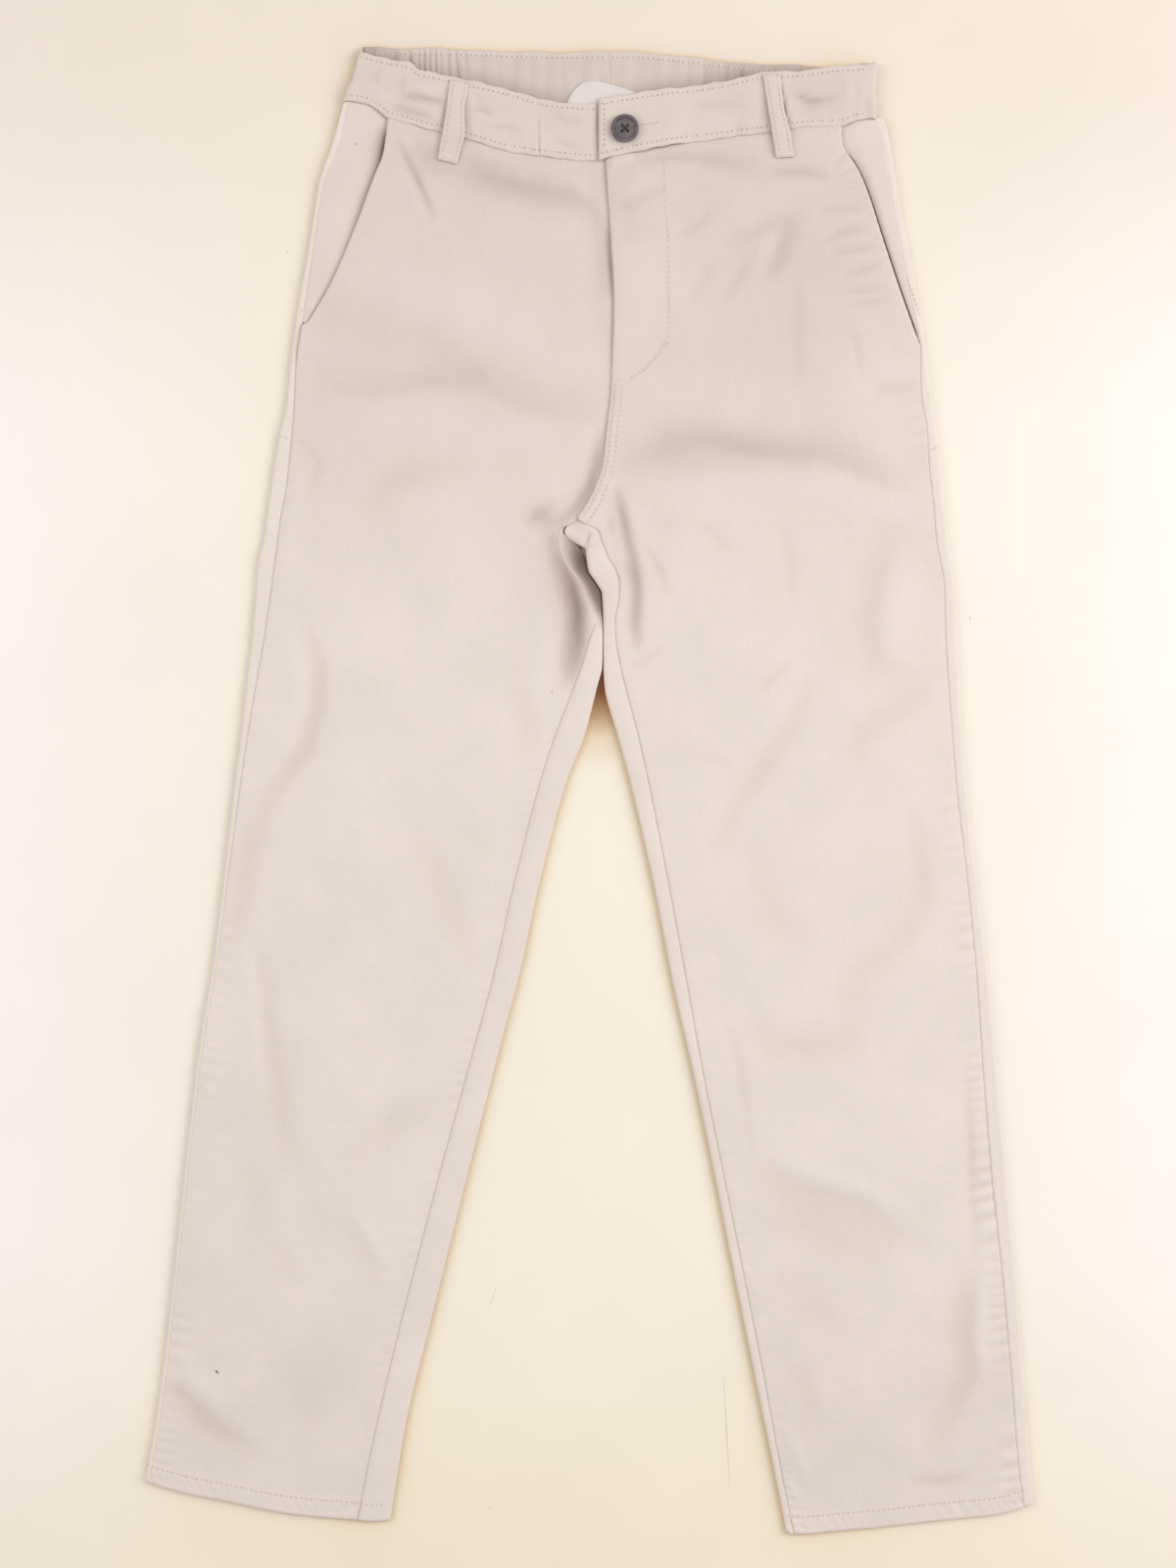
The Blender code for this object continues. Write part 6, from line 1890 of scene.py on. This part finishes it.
def add_stitches(name, stitches, shadow, tacks=()):
    """The thread of some stitches and tacks, and the painted shadows of the needle pricks between the
    stitches.
    """
    if not stitches:
        raise RuntimeError(f"{name} has no stitches")
    thread = settings().thread
    sewn = thread_mesh("stitches_" + name, stitches + list(tacks), thread.width / 2)
    finish_piece("stitches_" + name, sewn, "sewing_thread")
    pricks = prick_shadow_mesh("prick_shadows_" + name, stitches, thread.prick / 2)
    finish_piece("prick_shadows_" + name, pricks, shadow)


def sew_panels():
    """The panels' topstitching and bar tacks, the hems and the centre back seam."""
    for side, name in SIDES.items():
        cloth = surface_of("front_panel_" + name, "back_panel_" + name)
        x = np.linspace(HEM_LINES[side][0].x + 2, HEM_LINES[side][-1].x - 2, 60)
        hem = np.column_stack([x, HEM[side](x) + HEM_STITCH])
        sewn = [stitch for line in (*front_stitch_lines(side), hem)
                for stitch in stitches_along(cloth, line)]
        sewn += stitches_along(cloth, hem, from_above=False)
        tacks = [stitch for tack in TACKS[side]
                 for stitch in bar_tack(cloth, tack[:2], tack[2:4], tack.width)]
        add_stitches("front_" + name, sewn, "faint_shadow", tacks)
    cloth = surface_of("back_panel_right", "back_panel_left")
    y = np.linspace(412, 176, 60)
    seat = np.column_stack([LINES[RIGHT]["fold"](y), y])
    sewn = [stitch for away in (2.2, 6.4)
            for stitch in stitches_along(cloth, offset_path(seat, away), from_above=False)]
    add_stitches("seat", sewn, "faint_shadow")


def sew_bands():
    """The topstitching along both edges of the bands, and down the end that laps over."""
    for side, name in SIDES.items():
        band = surface_of("band_front_" + name)
        top, seam = BAND_LINES[side]["top"], BAND_LINES[side]["seam"]
        x = np.linspace(*{RIGHT: (-146.0, 5.0), LEFT: (7.2, 172.0)}[side], 90)
        lines = [np.column_stack([x, top(x) - BAND_STITCH]), np.column_stack([x, seam(x) + BAND_STITCH])]
        if side == LEFT:
            t, end_x = np.linspace(0.1, 0.9, 12), LAP_START + BAND_STITCH
            lines.append(np.column_stack([end_x + 0 * t, mix(top(end_x), seam(end_x), t)]))
        sewn = [stitch for line in lines for stitch in stitches_along(band, line)]
        add_stitches("band_" + name, sewn, "stitch_shadow")
    band = surface_of("band_back")
    x = np.linspace(-132, 168, 150)
    head = np.column_stack([x, BACK_BAND_TOP(x) - 3.2])
    foot = np.column_stack([x, BACK_BAND_TOP(x) - BAND_HEIGHT + BAND_STITCH])
    sewn = [stitch for line, above in ((head, True), (head, False), (foot, False))
            for stitch in stitches_along(band, line, from_above=above)]
    add_stitches("band_back", sewn, "stitch_shadow")


def sew_loops():
    """Two rows down each belt loop, with a tack near both ends of the ones in front."""
    for group, loops, above in (("front", FRONT_LOOPS, True), ("back", BACK_LOOPS, False)):
        sewn, tacks = [], []
        for name, rows in loops.items():
            strap = surface_of(f"loop_{group}_{name}")
            left, right = loop_edges(rows, np.linspace(0, 1, 30))
            for share in (0.17, 0.83):
                sewn += stitches_along(strap, mix(left, right, share), from_above=above)
            for k in (1, -3) if above else ():
                tacks += bar_tack(strap, mix(left[k], right[k], 0.08), mix(left[k], right[k], 0.92), 1.5)
        add_stitches("loops_" + group, sewn, "faint_shadow", tacks)


def sew_buttonhole():
    """Two close rows of thread and a tack at the end, along the slit under the button."""
    band = surface_of("band_front_left")
    low, high = node_box("button")
    start = np.array(((low[0] + high[0]) / 2 - 7.0, (low[1] + high[1]) / 2 - 1.6))
    run = np.array((1.0, 0.16)) / math.hypot(1.0, 0.16)
    across = np.array((-run[1], run[0]))
    sewn = []
    for away in (-0.95, 0.95):
        sewn += bar_tack(band, start + across * away, start + run * 27.6 + across * away, 1.3, 0.42)
    sewn += bar_tack(band, start + run * 28.0, start + run * 29.2, 3.2, 0.42)
    thread = thread_mesh("buttonhole", sewn, settings().thread.width * 0.42)
    finish_piece("buttonhole", thread, "sewing_thread")
    slit = [band.ray_cast(Vector((*(start + run * t) * MM, RAY_START)), Vector((0, 0, -1)))[0]
            for t in np.linspace(0.5, 27.4, 20)]
    # a thin dark tube along the slit: painted shadow
    tube("buttonhole_slit_shadow", [slit], 0.00016, "stitch_shadow")


class CHINO_OT_stitching(bpy.types.Operator):
    """Sew the topstitching, the bar tacks and the buttonhole"""
    bl_idname = "chino.stitching"
    bl_label = "Stitching"

    def execute(self, context):
        sew_panels()
        sew_bands()
        sew_loops()
        sew_buttonhole()
        return {"FINISHED"}


VIEW_HEIGHT = 0.960       # what the upright picture takes in, along Y


class CHINO_OT_stage(bpy.types.Operator):
    """Set the cream floor, the soft lights and the camera straight above"""
    bl_idname = "chino.stage"
    bl_label = "Stage"

    def execute(self, context):
        stage = settings().stage
        scene = context.scene

        def add(name, data, place):
            made = bpy.data.objects.new(name, data)
            made.location = place
            scene.collection.objects.link(made)
            return made

        mesh = bpy.data.meshes.new("floor")
        form = bmesh.new()
        bmesh.ops.create_grid(form, x_segments=2, y_segments=2, size=3.0)
        form.to_mesh(mesh)
        form.free()
        mesh.materials.append(bpy.data.materials["cream_floor"])
        add("floor", mesh, (0, 0, CAD_BOX[0][2] - 0.0001))
        for name, place, size, power in (
                ("light_left_side", (1.9, 0.4, 1.35), (1.1, 1.5), stage.side_power),
                ("light_right_side", (-2.0, 0.3, 1.5), (1.2, 1.6), stage.side_power * 0.58),
                ("light_top", (0.2, 0.7, 2.6), (1.6, 1.6), stage.top_power)):
            lamp = bpy.data.lights.new(name, "AREA")
            lamp.shape = "RECTANGLE"
            lamp.size, lamp.size_y = size
            lamp.energy = power
            add(name, lamp, place).rotation_euler = (-Vector(place)).to_track_quat("-Z", "Y").to_euler()
        scene.world = bpy.data.worlds.new("soft_room")
        scene.world.use_nodes = True
        sky = scene.world.node_tree.nodes["Background"].inputs
        sky["Color"].default_value = (1.0, 0.985, 0.97, 1.0)
        sky["Strength"].default_value = stage.sky
        scene.view_settings.view_transform = "Standard"
        scene.view_settings.look = "None"
        camera = bpy.data.cameras.new("camera")
        camera.lens = stage.lens
        camera.sensor_width = 36.0
        away = VIEW_HEIGHT * stage.lens / camera.sensor_width + 0.004
        scene.camera = add("camera", camera, (-0.0015, 0.0033, away))
        return {"FINISHED"}


OPERATORS = (CHINO_OT_materials, CHINO_OT_backs, CHINO_OT_pocket_facings, CHINO_OT_fly,
             CHINO_OT_fronts, CHINO_OT_waistband, CHINO_OT_belt_loops, CHINO_OT_tab,
             CHINO_OT_button, CHINO_OT_stitching, CHINO_OT_stage)


class CHINO_PT_panel(bpy.types.Panel):
    """Sizes, colours and the operators in their order"""
    bl_idname = "CHINO_PT_panel"
    bl_label = "Chinos"
    bl_space_type = "VIEW_3D"
    bl_region_type = "UI"
    bl_category = "Chinos"

    def draw(self, context):
        chinos = context.scene.chinos
        for group in (chinos.cloth, chinos.thread, chinos.button, chinos.stage):
            box = self.layout.box()
            for name in group.__annotations__:
                box.prop(group, name)
        for operator in OPERATORS:
            self.layout.operator(operator.bl_idname)


CLASSES = (ChinoCloth, ChinoThread, ChinoButton, ChinoStage, ChinoSettings, *OPERATORS,
           CHINO_PT_panel)


def register():
    for made in CLASSES:
        bpy.utils.register_class(made)
    bpy.types.Scene.chinos = PointerProperty(type=ChinoSettings)


def unregister():
    del bpy.types.Scene.chinos
    for made in reversed(CLASSES):
        bpy.utils.unregister_class(made)


def main():
    register()
    for operator in OPERATORS:
        group, name = operator.bl_idname.split(".")
        getattr(getattr(bpy.ops, group), name)()


if __name__ == "__main__":
    main()
